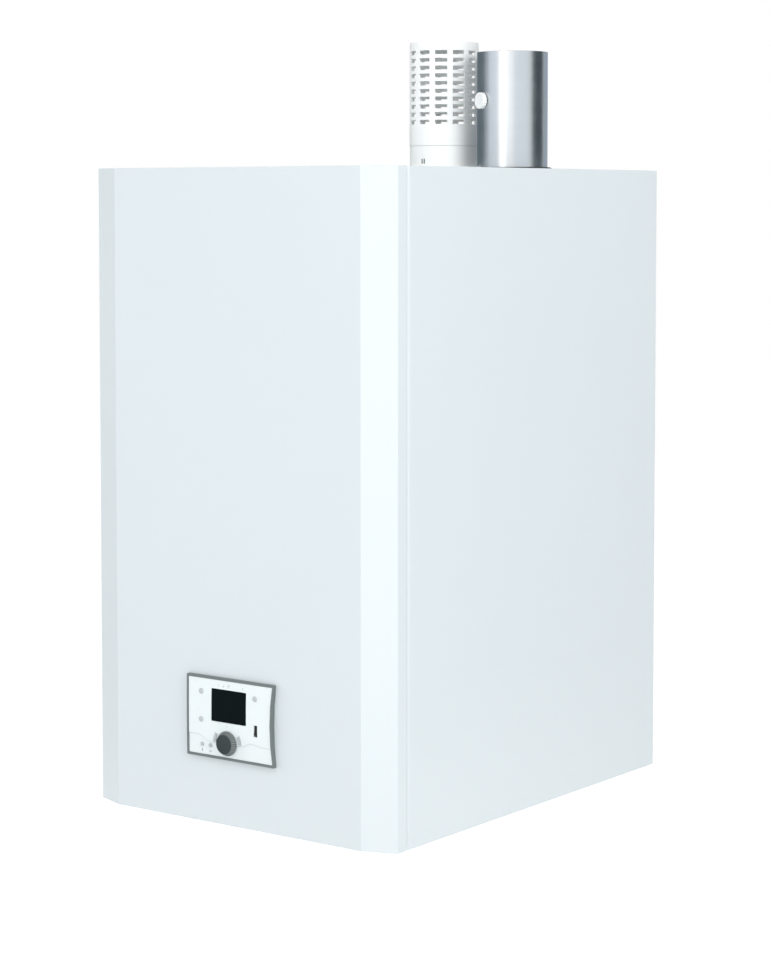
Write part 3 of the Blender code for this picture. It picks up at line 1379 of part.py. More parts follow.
def make_burner_hood():
    """The casting over the burner: flange with nuts, sloping sides and an inlet at the front."""
    low = HOOD_BOTTOM
    half_width, half_length = BLOCK_WIDTH / 2, BLOCK_LENGTH / 2
    mesh = bmesh.new()
    loops = []
    for z, taper in (
        (low, 0),
        (low + HOOD_FLANGE, 0),
        (low + HOOD_FLANGE, 2 * NUT_INSET),
        (low + HOOD_HEIGHT - HOOD_SHOULDER, HOOD_SIDE_TAPER),
        (low + HOOD_HEIGHT, HOOD_TOP_TAPER),
    ):
        x, y = half_width - taper, half_length - taper
        corners = rectangle((BLOCK_X, BLOCK_Y), 2 * x, 2 * y, HOOD_CORNER)
        loops.append([mesh.verts.new((a, b, z)) for a, b in corners])
    count = len(loops[0])
    for first, second in zip(loops, loops[1:]):
        for k in range(count):
            after = (k + 1) % count
            mesh.faces.new((first[k], first[after], second[after], second[k]))
    mesh.faces.new(loops[0])
    mesh.faces.new(loops[-1])
    hood = blank(mesh)
    rim = ELBOW_RADIUS + ELBOW_FLANGE_RIM
    fused(hood, rod((BLOCK_X, HOOD_INLET_Z), rim, "Y", BLOCK_FRONT, BLOCK_FRONT + HOOD_INLET_LENGTH))
    top = low + HOOD_FLANGE
    for side in (-1, 1):
        for k in range(NUTS_A_SIDE):
            along = 2 * k / (NUTS_A_SIDE - 1) - 1
            centre = (
                BLOCK_X + side * (half_width - NUT_INSET),
                BLOCK_Y + along * (half_length - 2 * NUT_INSET),
            )
            fused(hood, rod(centre, NUT_RADIUS, "Z", top - HOOD_FLANGE / 2, top + NUT_HEIGHT, steps=6))
    return named(hood, "burner_hood", "cast_aluminium")


def make_ignition_electrode():
    """The ceramic plug with its fixing flange, on the front of the exchanger."""
    face = BLOCK_FRONT + BLOCK_LIP - GAP
    place = (ELECTRODE_X, BLOCK_TOP - ELECTRODE_BELOW_BLOCK_TOP)
    tip = face - ELECTRODE_LENGTH
    profile = [
        (0, face),
        (ELECTRODE_FLANGE, face),
        (ELECTRODE_FLANGE, face - ELECTRODE_FLANGE_THICKNESS),
        (ELECTRODE_RADIUS, face - ELECTRODE_FLANGE_THICKNESS),
        (ELECTRODE_RADIUS, tip + ELECTRODE_RADIUS),
        (ELECTRODE_RADIUS / 3, tip + ELECTRODE_RADIUS),
        (ELECTRODE_RADIUS / 3, tip),
        (0, tip),
    ]
    return named(turned(profile, "Y", place, steps=12), "ignition_electrode", "ceramic")


# Fan, mixing venturi and gas valve

def volute(margin):
    """The spiral of the fan's scroll, as a YZ outline drawn this far inside its outer wall."""
    points = []
    for k in range(VOLUTE_FACETS + 1):
        part = k / VOLUTE_FACETS
        radius = VOLUTE_START_RADIUS + (VOLUTE_END_RADIUS - VOLUTE_START_RADIUS) * part - margin
        angle = 2 * math.pi * part
        points.append((FAN_Y + radius * math.cos(angle), FAN_Z + radius * math.sin(angle)))
    return points


def volute_outlet(margin, above):
    """The fan's upright outlet, as a YZ outline drawn this far inside its walls."""
    rear = FAN_Y + VOLUTE_END_RADIUS - margin
    front = FAN_Y + VOLUTE_END_RADIUS - VOLUTE_OUTLET_WIDTH + margin
    top = VOLUTE_OUTLET_Z + above
    return [(front, FAN_Z), (rear, FAN_Z), (rear, top), (front, top)]


def make_fan_housing():
    inner = (FAN_LEFT + FAN_WALL, FAN_RIGHT - FAN_WALL)
    housing = prism(volute(0), "X", FAN_LEFT, FAN_RIGHT)
    fused(housing, prism(volute_outlet(0, 0), "X", FAN_LEFT, FAN_RIGHT))
    cut(
        housing,
        prism(volute(FAN_WALL), "X", *inner),
        prism(volute_outlet(FAN_WALL, CUT_PAST), "X", *inner),
        rod((FAN_Y, FAN_Z), FAN_INLET_RADIUS, "X", inner[1] - CUT_PAST, FAN_RIGHT + CUT_PAST),
        rod((FAN_Y, FAN_Z), FAN_SHAFT_RADIUS + GAP, "X", FAN_LEFT - CUT_PAST, inner[0] + CUT_PAST),
    )
    return named(housing, "fan_housing", "cast_aluminium")


def make_fan_impeller():
    """A closed wheel: back plate, backward-leaning blades, front ring, hub and shaft."""
    left = FAN_LEFT + FAN_WALL + IMPELLER_CLEARANCE
    right = FAN_RIGHT - FAN_WALL - IMPELLER_CLEARANCE
    centre = (FAN_Y, FAN_Z)
    wheel = rod(centre, IMPELLER_RADIUS, "X", left, left + IMPELLER_PLATE, IMPELLER_FACETS)
    ring = rod(centre, IMPELLER_RADIUS, "X", right - IMPELLER_PLATE, right, IMPELLER_FACETS)
    cut(ring, rod(centre, IMPELLER_EYE, "X", right - 2 * IMPELLER_PLATE, right + CUT_PAST, IMPELLER_FACETS))
    start = IMPELLER_EYE + IMPELLER_BLADE_INSET
    end = IMPELLER_RADIUS - IMPELLER_BLADE_INSET
    lean = math.radians(IMPELLER_BLADE_LEAN)
    for blade in range(IMPELLER_BLADES):
        turn = 2 * math.pi * blade / IMPELLER_BLADES
        spine = []
        for part in (0, 0.5, 1):
            radius = start + (end - start) * part
            angle = turn - lean * part
            spine.append((FAN_Y + radius * math.cos(angle), FAN_Z + radius * math.sin(angle)))
        outline = strip(spine, IMPELLER_BLADE_THICKNESS, 0.0)
        fused(wheel, prism(outline, "X", left + IMPELLER_PLATE / 2, right - IMPELLER_PLATE / 2))
    fused(
        wheel,
        ring,
        rod(centre, IMPELLER_HUB, "X", left + IMPELLER_PLATE / 2, left + 4 * IMPELLER_PLATE),
        rod(centre, FAN_SHAFT_RADIUS, "X", left - FAN_SHAFT_LENGTH, left + IMPELLER_PLATE / 2, steps=16),
    )
    return named(wheel, "fan_impeller", "black_plastic", origin=(FAN_X, FAN_Y, FAN_Z))


def make_fan_motor():
    """The motor on the fan's left wall. The impeller's shaft runs in its bore."""
    right = FAN_LEFT - GAP
    left = right - MOTOR_LENGTH
    shaft_end = FAN_LEFT + FAN_WALL + IMPELLER_CLEARANCE - FAN_SHAFT_LENGTH
    bore = FAN_SHAFT_RADIUS + GAP
    chamfer = (MOTOR_RADIUS - MOTOR_END_RADIUS) / 2
    profile = [
        (bore, right),
        (MOTOR_RADIUS, right),
        (MOTOR_RADIUS, left + MOTOR_STEP_AT),
        (MOTOR_RADIUS - chamfer, left + MOTOR_STEP_AT - chamfer),
        (MOTOR_END_RADIUS, left),
        (0, left),
        (0, shaft_end - GAP),
        (bore, shaft_end - GAP),
    ]
    return named(turned(profile, "X", (FAN_Y, FAN_Z), steps=16), "fan_motor", "black_plastic")


def make_venturi():
    """The waisted tube where air draws the gas in, with the gas boss underneath."""
    start = FAN_RIGHT + GAP
    end = start + VENTURI_LENGTH
    throat = start + VENTURI_THROAT_AT
    bore = [
        (VENTURI_MOUTH, end),
        (VENTURI_FLARE, start + VENTURI_FLARE_AT),
        (VENTURI_THROAT, throat),
        (FAN_INLET_RADIUS, start),
    ]
    outside = [
        (VENTURI_FLANGE, start),
        (VENTURI_FLANGE, start + VENTURI_WALL),
        (FAN_INLET_RADIUS + VENTURI_WALL, start + VENTURI_WALL),
        (VENTURI_THROAT + VENTURI_WALL, throat),
        (VENTURI_FLARE + VENTURI_WALL, start + VENTURI_FLARE_AT),
        (VENTURI_MOUTH + VENTURI_WALL, end),
    ]
    tube = turned(bore + outside, "X", (FAN_Y, FAN_Z), steps=14)
    boss_top = FAN_Z - VENTURI_THROAT - VENTURI_WALL / 2
    boss = rod((GAS_BOSS_X, FAN_Y), GAS_BOSS_RADIUS, "Z", FAN_Z - GAS_BOSS_DROP, boss_top)
    fused(tube, boss)
    hole = rod((GAS_BOSS_X, FAN_Y), GAS_BOSS_BORE, "Z", FAN_Z - GAS_BOSS_DROP - CUT_PAST, FAN_Z)
    return named(cut(tube, hole), "venturi", "cast_aluminium")


def make_gas_valve():
    """A cast body with two coils in front, an outlet below and a test port at its side."""
    right, front = GAS_BOSS_X + VALVE_WIDTH / 2, FAN_Y - VALVE_DEPTH / 2
    low = VALVE_TOP - VALVE_HEIGHT
    middle = VALVE_TOP - VALVE_HEIGHT / 2
    outline = rectangle((GAS_BOSS_X, FAN_Y), VALVE_WIDTH, VALVE_DEPTH, VALVE_CORNER)
    body = prism(outline, "Z", low, VALVE_TOP)
    for side in (-1, 1):
        place = (GAS_BOSS_X + side * VALVE_COIL_SPACING / 2, middle)
        fused(body, rod(place, VALVE_COIL_RADIUS, "Y", front - VALVE_COIL_LENGTH, front + CUT_PAST))
    fused(
        body,
        rod((GAS_BOSS_X, FAN_Y), VALVE_PORT_RADIUS, "Z", low - VALVE_PORT_LENGTH, low + CUT_PAST),
        rod((FAN_Y, middle), VALVE_PORT_RADIUS, "X", right - CUT_PAST, right + VALVE_PORT_LENGTH / 2),
    )
    return named(body, "gas_valve", "cast_aluminium")


def make_inlet_elbow():
    """The bend from the fan's outlet up and back into the burner hood, with a flange at each end."""
    start = VOLUTE_OUTLET_Z + GAP
    end = BLOCK_FRONT - GAP
    lower = Vector((FAN_X, VOLUTE_OUTLET_Y, start))
    corner = Vector((FAN_X, VOLUTE_OUTLET_Y, HOOD_INLET_Z))
    upper = Vector((BLOCK_X, end, HOOD_INLET_Z))
    path = rounded([lower, corner, upper], ELBOW_BEND, closed=False, steps=4)
    bore = [lower - Vector((0, 0, CUT_PAST)), *path, upper + Vector((0, CUT_PAST, 0))]
    rim = 2 * ELBOW_FLANGE_RIM
    foot = rectangle(
        (FAN_X, VOLUTE_OUTLET_Y), FAN_WIDTH + rim, VOLUTE_OUTLET_WIDTH + rim, ELBOW_FLANGE_CORNER
    )
    ring = rod((BLOCK_X, HOOD_INLET_Z), ELBOW_RADIUS + ELBOW_FLANGE_RIM, "Y", end - ELBOW_FLANGE, end)
    elbow = fused(swept(path, ELBOW_RADIUS), prism(foot, "Z", start, start + ELBOW_FLANGE), ring)
    return named(cut(elbow, swept(bore, ELBOW_RADIUS - ELBOW_WALL)), "inlet_elbow", "cast_aluminium")


# Pipes, condensate and stand

def levelled(tube, level):
    """Sets the corners at a pipe's lower end to one height, so that its end face is truly flat."""
    for vert in tube.data.vertices:
        if abs(vert.co.z - level) < LEVEL_WITHIN:
            vert.co.z = level
    return tube


def with_union_nut(tube, centre, radius):
    """Adds the hexagonal nut near a pipe's lower end, and clears its bore."""
    low = STUB_END + UNION_NUT_FROM_END
    nut = rod(centre, radius + UNION_NUT_RIM, "Z", low, low + UNION_NUT_HEIGHT, steps=6)
    bore = rod(centre, radius - UNION_NUT_BITE, "Z", low - CUT_PAST, low + UNION_NUT_HEIGHT + CUT_PAST)
    return levelled(fused(tube, cut(nut, bore)), STUB_END)


def make_water_pipe(name, from_wall, height):
    end = BLOCK_LEFT - LUG_LENGTH - GAP
    corners = [
        (end, -from_wall, height),
        (WATER_PIPE_X, -from_wall, height),
        (WATER_PIPE_X, -from_wall, STUB_END),
    ]
    tube = bent_tube(corners, WATER_PIPE_RADIUS, WATER_PIPE_WALL, WATER_PIPE_BEND)
    with_union_nut(tube, (WATER_PIPE_X, -from_wall), WATER_PIPE_RADIUS)
    return named(tube, name, "copper")


def make_gas_pipe():
    start = VALVE_TOP - VALVE_HEIGHT - VALVE_PORT_LENGTH - GAP
    corners = [
        (GAS_BOSS_X, FAN_Y, start),
        (GAS_BOSS_X, FAN_Y, start - GAS_PIPE_DROP),
        (*GAS_CONNECTION, start - GAS_PIPE_OFFSET_END),
        (*GAS_CONNECTION, STUB_END),
    ]
    tube = bent_tube(corners, GAS_PIPE_RADIUS, GAS_PIPE_WALL, GAS_PIPE_BEND)
    with_union_nut(tube, GAS_CONNECTION, GAS_PIPE_RADIUS)
    return named(tube, "gas_pipe", "copper")


def make_condensate_sump():
    """The collector under the exchanger, with the socket where the flue rises at its side."""
    left, right = BLOCK_LEFT - SUMP_RIM, FLUE_X + DUCT_RADIUS + SUMP_SOCKET_WALL
    front, back = BLOCK_FRONT - SUMP_RIM, BLOCK_FRONT + BLOCK_LENGTH + SUMP_RIM
    outline = rounded([(left, front), (right, front), (right, back), (left, back)], SUMP_CORNER)
    body = prism(outline, "Z", SUMP_BOTTOM, SUMP_TOP)
    socket_floor = SUMP_TOP - SUMP_SOCKET_DEPTH
    socket = RISER_RADIUS + GAP
    cut(body, rod((FLUE_X, DUCT_Y), socket, "Z", socket_floor, SUMP_TOP + CUT_PAST, DUCT_FACETS))
    return named(body, "condensate_sump", "black_plastic")


def make_flue_riser():
    low = SUMP_TOP - SUMP_SOCKET_DEPTH + GAP
    high = TOP - FLUE_BELOW + RISER_OVERLAP
    bore = RISER_RADIUS - FLUE_WALL
    tube = cut(
        rod((FLUE_X, DUCT_Y), RISER_RADIUS, "Z", low, high, DUCT_FACETS),
        rod((FLUE_X, DUCT_Y), bore, "Z", low - CUT_PAST, high + CUT_PAST, DUCT_FACETS),
    )
    return named(tube, "flue_riser", "stainless_steel")


def make_condensate_trap():
    """The bottle trap under the sump, with its hollow drain tail through the bottom."""
    top = SUMP_BOTTOM - GAP
    shoulder = top - TRAP_NECK_LENGTH
    base = shoulder - TRAP_BODY_LENGTH
    slope = (TRAP_RADIUS - DRAIN_RADIUS) / 2
    profile = [
        (0, top),
        (TRAP_NECK_RADIUS, top),
        (TRAP_NECK_RADIUS, shoulder),
        (TRAP_RADIUS - slope / 2, shoulder),
        (TRAP_RADIUS, shoulder - slope / 2),
        (TRAP_RADIUS, base + slope),
        (DRAIN_RADIUS, base),
        (DRAIN_RADIUS, STUB_END),
        (DRAIN_BORE, STUB_END),
        (DRAIN_BORE, base),
        (0, base),
    ]
    made = turned(profile, "Z", (TRAP_X, -TRAP_FROM_WALL), steps=14)
    return named(made, "condensate_trap", "white_plastic")


def make_block_stand():
    """A welded stand: two bridges across the bottom, joined by two rails under the sump."""
    high = SUMP_BOTTOM - GAP
    half = BLOCK_WIDTH / 2
    under = high - STAND_THICKNESS
    path = [
        (BLOCK_X - half - STAND_FOOT, FLOOR_INSIDE),
        (BLOCK_X - half, FLOOR_INSIDE),
        (BLOCK_X - half, under),
        (BLOCK_X + half, under),
        (BLOCK_X + half, FLOOR_INSIDE),
        (BLOCK_X + half + STAND_FOOT, FLOOR_INSIDE),
    ]
    profile = strip(path, STAND_THICKNESS, 0.0)
    bars = []
    for side in (-1, 1):
        middle = BLOCK_Y + side * STAND_SPACING / 2
        bars.append(prism(profile, "Y", middle - STAND_BAR_DEPTH / 2, middle + STAND_BAR_DEPTH / 2))
    reach = STAND_SPACING / 2
    rails = [
        block(
            (BLOCK_X + side * half / 2, BLOCK_X + side * half / 2 + STAND_THICKNESS),
            (BLOCK_Y - reach, BLOCK_Y + reach),
            (high - STAND_RAIL_HEIGHT, high - STAND_THICKNESS / 2),
        )
        for side in (-1, 1)
    ]
    stand = fused(bars[0], *rails, bars[1])
    return named(stand, "block_stand", "galvanised_steel")


def make_air_vent():
    low = FLOW_Z + LUG_HEIGHT / 2 + GAP
    high = low + VENT_HEIGHT
    profile = [
        (0, low),
        (VENT_FOOT_RADIUS, low),
        (VENT_FOOT_RADIUS, low + VENT_FOOT_HEIGHT),
        (VENT_RADIUS, low + VENT_FOOT_HEIGHT),
        (VENT_RADIUS, high - VENT_FOOT_HEIGHT),
        (VENT_CAP_RADIUS, high - VENT_FOOT_HEIGHT),
        (VENT_CAP_RADIUS, high),
        (0, high),
    ]
    centre = (BLOCK_LEFT - LUG_LENGTH / 2, -FLOW_FROM_WALL)
    return named(turned(profile, "Z", centre, steps=10), "air_vent", "brass")


def make_cable_gland():
    """The gland for the supply lead: a threaded body through the bottom, clamped by its nut."""
    outside, inside = BOTTOM - GAP, BOTTOM + SHEET + GAP
    rim = GLAND_RADIUS + GLAND_RIM
    profile = [
        (GLAND_BORE, outside - GLAND_BELOW),
        (GLAND_RADIUS - GLAND_RIM / 2, outside - GLAND_BELOW),
        (rim, outside - GLAND_BELOW / 2),
        (rim, outside),
        (GLAND_RADIUS, outside),
        (GLAND_RADIUS, inside),
        (rim, inside),
        (rim, inside + GLAND_NUT),
        (GLAND_RADIUS, inside + GLAND_NUT),
        (GLAND_RADIUS, inside + GLAND_ABOVE),
        (GLAND_BORE, inside + GLAND_ABOVE),
    ]
    made = turned(profile, "Z", GLAND_AT, steps=10)
    return named(made, "cable_gland", "black_plastic")


def tray_ranges():
    left = -BETWEEN_SIDES
    front = FRONT + TRAY_BEHIND_FRONT
    low = BOTTOM + TRAY_ABOVE_BOTTOM
    return (left, left + TRAY_WIDTH), (front, front + TRAY_DEPTH), (low, low + TRAY_HEIGHT)


def make_control_tray():
    """An open sheet tray on the left side panel, with posts for the main board."""
    x, y, z = tray_ranges()
    tray = block(x, y, z)
    inner_x, inner_z = (x[0] + SHEET, x[1] - SHEET), (z[0] + SHEET, z[1] - SHEET)
    cut(tray, block(inner_x, (y[0] - CUT_PAST, y[1] - SHEET), inner_z))
    for place in tray_posts():
        fused(tray, rod(place, POST_RADIUS, "Y", y[1] - TRAY_POST, y[1] - SHEET / 2, steps=12))
    return named(tray, "control_tray", "galvanised_steel")


def tray_posts():
    x, _, z = tray_ranges()
    inset = 2 * TRAY_BOARD_MARGIN
    return [(a, b) for a in (x[0] + inset, x[1] - inset) for b in (z[0] + inset, z[1] - inset)]


def make_control_board():
    """The main board, with its transformer, relays and a row of plug sockets along the foot."""
    x, y, z = tray_ranges()
    back = y[1] - TRAY_POST - GAP
    front = back - BOARD_THICKNESS
    left, low = x[0] + TRAY_BOARD_MARGIN, z[0] + TRAY_BOARD_MARGIN
    board = block((left, x[1] - TRAY_BOARD_MARGIN), (front, back), (low, z[1] - TRAY_BOARD_MARGIN))

    def component(size, along, above):
        width, proud, height = size
        start = left + BOARD_PARTS_INSET + along
        ahead = (front - proud, front + BOARD_THICKNESS / 2)
        return block((start, start + width), ahead, (low + above, low + above + height))

    fused(board, component(TRANSFORMER, 0, TRANSFORMER_ABOVE))
    fused(board, *[component(RELAY, k * RELAY_PITCH, RELAY_ABOVE) for k in range(RELAYS)])
    fused(board, *[component(SOCKET, k * SOCKET_PITCH, SOCKET_ABOVE) for k in range(SOCKETS)])
    return named(board, "control_board", "circuit_board")


def main():
    for old in list(bpy.data.objects):
        bpy.data.objects.remove(old)
    make_front_cover()
    make_cover_seal()
    make_side_panels()
    make_cover_clips()
    make_top_panel()
    make_bottom_panel()
    make_back_panel()
    make_wall_rail()
    make_hanger_hook()
    make_air_collar()
    make_air_seal()
    make_air_grille()
    make_flue_outlet()
    make_flue_seal()
    make_sampling_port()
    make_sampling_cap()
    make_panel_bezel()
    make_panel_fascia()
    make_display_window()
    make_round_buttons()
    make_crescent_buttons()
    make_selector_knob()
    make_knob_encoder()
    make_power_switch()
    make_switch_body()
    make_control_unit_housing()
    make_control_unit_board()
    make_heat_exchanger()
    make_burner()
    make_burner_hood()
    make_ignition_electrode()
    make_fan_housing()
    make_fan_impeller()
    make_fan_motor()
    make_venturi()
    make_gas_valve()
    make_inlet_elbow()
    make_water_pipe("flow_pipe", FLOW_FROM_WALL, FLOW_Z)
    make_water_pipe("return_pipe", RETURN_FROM_WALL, RETURN_Z)
    make_gas_pipe()
    make_condensate_sump()
    make_flue_riser()
    make_condensate_trap()
    make_block_stand()
    make_air_vent()
    make_cable_gland()
    make_control_tray()
    make_control_board()


main()
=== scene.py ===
# %% [markdown]
# # A wall-hung condensing gas boiler
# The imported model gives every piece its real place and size, in metres. This notebook dresses it:
# it rounds the edges of the sheet metal, rebuilds the round pieces smoothly, and gives each
# material its own texture. The frame comes first, because everything is built around it.

# %% Load the frame
import json
import math

import bmesh
import bpy
from mathutils import Matrix, Vector

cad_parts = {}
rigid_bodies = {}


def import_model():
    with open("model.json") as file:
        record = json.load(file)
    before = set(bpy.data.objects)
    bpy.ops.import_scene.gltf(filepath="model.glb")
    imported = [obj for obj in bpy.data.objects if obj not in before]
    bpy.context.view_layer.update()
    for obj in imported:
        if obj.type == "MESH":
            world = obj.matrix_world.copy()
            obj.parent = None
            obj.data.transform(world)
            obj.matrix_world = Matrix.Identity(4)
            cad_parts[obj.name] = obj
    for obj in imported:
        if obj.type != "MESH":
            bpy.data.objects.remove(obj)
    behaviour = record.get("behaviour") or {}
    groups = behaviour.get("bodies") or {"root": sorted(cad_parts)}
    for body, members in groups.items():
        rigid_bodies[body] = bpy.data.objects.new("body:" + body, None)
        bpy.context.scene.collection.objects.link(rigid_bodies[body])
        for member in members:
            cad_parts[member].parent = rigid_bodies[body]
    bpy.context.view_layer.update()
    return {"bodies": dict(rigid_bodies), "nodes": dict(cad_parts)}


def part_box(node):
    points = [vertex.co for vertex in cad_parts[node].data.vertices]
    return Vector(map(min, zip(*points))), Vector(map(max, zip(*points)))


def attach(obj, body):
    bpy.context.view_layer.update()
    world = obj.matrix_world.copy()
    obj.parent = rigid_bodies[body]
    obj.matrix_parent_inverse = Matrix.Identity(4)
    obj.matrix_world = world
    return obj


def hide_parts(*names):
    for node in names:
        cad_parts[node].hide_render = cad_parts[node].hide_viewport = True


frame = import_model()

# %% [markdown]
# ## Sizes that several pieces share
# Each size is read from the frame's own boxes where a box can tell it, so a piece can't drift away
# from the solid it stands for. What no box tells, such as a wall or a gap, is a named number.

# %% Shared sizes
MM = 0.001
PER_MM = 1 / MM
WELD = 0.001 * MM
GAP = 0.3 * MM
CASING_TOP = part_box("left_side_panel")[1].z
FACE_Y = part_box("front_cover")[0].y


def middle(node):
    low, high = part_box(node)
    return (low + high) / 2


print(f"casing's top at {CASING_TOP:.3f} m, front at {FACE_Y:.4f} m")

# %% [markdown]
# ## Short calls for nodes
# Shaders and Geometry Nodes are both trees of nodes with links between them. Written out, one node
# takes several lines, so these helpers add a node and fill its inputs in one call. A field is a
# node's output that takes plain signs: a + b adds a maths node, as one would by hand in the editor.


# %% Fields and nodes
class Field:
    """A node's output that takes + - * / and %, each of which adds a maths node."""

    def __init__(self, nodes, socket):
        self.nodes, self.socket = nodes, socket


class Nodes:
    """Short calls that add nodes to a tree, a shader's or a Geometry Nodes one."""

    def __init__(self, tree):
        self.tree = tree

    def feed(self, socket, value):
        """Links an input to a field, an output or a node's first output, or sets a plain value."""
        if isinstance(value, bpy.types.Node):
            value = value.outputs[0]
        elif isinstance(value, Field):
            value = value.socket
        if isinstance(value, bpy.types.NodeSocket):
            self.tree.links.new(value, socket)
        else:
            socket.default_value = value

    def fill(self, node, *values, **sockets):
        """Feeds inputs in their order, or by their names with an underscore for a space."""
        for socket, value in zip(node.inputs, values):
            self.feed(socket, value)
        for name, value in sockets.items():
            self.feed(node.inputs[name.replace("_", " ")], value)
        return node

    def node(self, kind, *values, settings=None, **sockets):
        made = self.tree.nodes.new(kind)
        for key, value in (settings or {}).items():
            setattr(made, key, value)
        return self.fill(made, *values, **sockets)

    def maths(self, operation, *values):
        made = self.node("ShaderNodeMath", *values, settings={"operation": operation})
        return Field(self, made.outputs[0])

    def split(self, vector):
        """A vector's X, Y and Z, as fields."""
        return [Field(self, part) for part in self.node("ShaderNodeSeparateXYZ", vector).outputs]


def add_sign(sign, operation):
    """Gives fields a sign, for a field on its left and for one on its right."""
    setattr(Field, f"__{sign}__", lambda field, other: field.nodes.maths(operation, field, other))
    setattr(Field, f"__r{sign}__", lambda field, other: field.nodes.maths(operation, other, field))


SIGNS = {"add": "ADD", "sub": "SUBTRACT", "mul": "MULTIPLY", "truediv": "DIVIDE", "mod": "MODULO"}
for sign, operation in SIGNS.items():
    add_sign(sign, operation)
print("fields take", len(SIGNS), "signs")

# %% [markdown]
# ## How a finish is built
# Every finish starts from a Principled shader. A real surface is never one even colour, so a soft
# noise on Object coordinates shifts the colour and the roughness a little, and a finer noise gives
# the bump. Object coordinates are in metres here, so a noise scale of 1000 makes grains of about a
# millimetre. The finishes below add what makes each material itself.

# %% Textures, ranges and bumps
# A Mix node's sockets for colours come after those for numbers and vectors.
MIX_COLOURS, MIX_RESULT = slice(6, 8), 2


def placed(nodes, scale=(1, 1, 1), centre=(0, 0, 0)):
    """Object coordinates measured from a point, and scaled."""
    place = nodes.node("ShaderNodeTexCoord").outputs["Object"]
    offset = [-a * b for a, b in zip(centre, scale)]
    return nodes.node("ShaderNodeMapping", Vector=place, Scale=scale, Location=offset)


def distance(nodes, scale, centre):
    """The distance of Object coordinates from a point, after that scaling."""
    length = nodes.node("ShaderNodeVectorMath", placed(nodes, scale, centre),
                        settings={"operation": "LENGTH"})
    return Field(nodes, length.outputs["Value"])


def object_noise(nodes, scale, detail, stretch=(1, 1, 1)):
    """A noise texture on Object coordinates, with its pattern stretched along the axes."""
    return nodes.node("ShaderNodeTexNoise", Vector=placed(nodes, stretch), Scale=scale, Detail=detail)


def spread(nodes, value, low, high, start=0.3, end=0.7, kind="LINEAR"):
    """Maps the values from start to end onto a range, such as a roughness."""
    made = nodes.node("ShaderNodeMapRange", value, start, end, low, high,
                      settings={"interpolation_type": kind})
    return Field(nodes, made.outputs[0])


def blend(nodes, factor, first, second):
    """The first colour where the factor is 0, and the second where it is 1."""
    made = nodes.node("ShaderNodeMix", factor, settings={"data_type": "RGBA"})
    for socket, colour in zip(made.inputs[MIX_COLOURS], (first, second)):
        nodes.feed(socket, (*colour, 1) if isinstance(colour, (tuple, list)) else colour)
    return made.outputs[MIX_RESULT]


def bumps(nodes, height, depth, **before):
    """A bump of this depth in millimetres, added to an earlier Normal if there is one."""
    return nodes.node("ShaderNodeBump", Height=height, Distance=depth * MM, **before)


print("shader helpers ready")


def shader_of(material):
    return material.node_tree.nodes["Principled BSDF"]


def dressed(material, **sockets):
    """Sets or links inputs of the material's own shader."""
    Nodes(material.node_tree).fill(shader_of(material), **sockets)


def new_material(name):
    material = bpy.data.materials.new(name)
    material.use_nodes = True
    return material


def finish(name, colour, roughness, metallic=0.0, *, shift, cloud, grain, depth, stretch=(1, 1, 1),
           uneven=0.05, slot=None, **constants):
    """A material whose colour and roughness drift a little, with a fine grain as bump."""
    material = new_material(name)
    nodes = Nodes(material.node_tree)
    clouds = object_noise(nodes, cloud, 2.0, stretch)
    grains = object_noise(nodes, grain, 3.0, stretch)
    darker = [part * (1 - shift) for part in colour]
    lighter = [min(1.0, part * (1 + shift / 2)) for part in colour]
    dressed(material, Metallic=metallic, Base_Color=blend(nodes, clouds, darker, lighter),
            Roughness=spread(nodes, clouds, roughness - uneven / 2, roughness + uneven / 2),
            Normal=bumps(nodes, grains, depth), **constants)
    return material


def tinted(material, mask, colour):
    """Mixes one more colour over the finish where the mask is 1."""
    under = shader_of(material).inputs["Base Color"].links[0].from_socket
    dressed(material, Base_Color=blend(Nodes(material.node_tree), mask, under, colour))


print("finish ready")

# %% [markdown]
# ## Powder-coated sheet
# The casing is steel sheet with a baked powder coat. Powder flows out into a smooth skin with a very
# slight orange peel: ripples 2 or 3 mm apart and a few hundredths of a millimetre deep. They are too
# shallow to model, so they are two bumps, a broad one and a fine one, under a thin clear gloss.

# %% White powder coat
white_paint = finish("white_paint", (0.700, 0.757, 0.776), 0.34, shift=0.012, cloud=4, grain=420,
                     depth=0.018, uneven=0.04, Coat_Weight=0.12, Coat_Roughness=0.2)
paint_nodes = Nodes(white_paint.node_tree)
broad_peel = shader_of(white_paint).inputs["Normal"].links[0].from_socket
fine_peel = object_noise(paint_nodes, 1900, 1.0)
dressed(white_paint, Normal=bumps(paint_nodes, fine_peel, 0.004, Normal=broad_peel))
print("powder coat:", len(white_paint.node_tree.nodes), "nodes")

# %% [markdown]
# ## Moulded plastics
# The terminal and the panel's face are white mouldings with a satin skin. The bezel and the buttons
# are grey, and the knob is nearly black. All have the fine spark grain of a mould, so they differ in
# colour, gloss and depth of grain. A little subsurface light softens the terminal's, as resin does.


# %% Plastics
def white_resin(name, **more):
    return finish(name, (0.925, 0.94, 0.93), 0.38, shift=0.012, cloud=12, grain=2600,
                  depth=0.006, slot="white_plastic", **more)


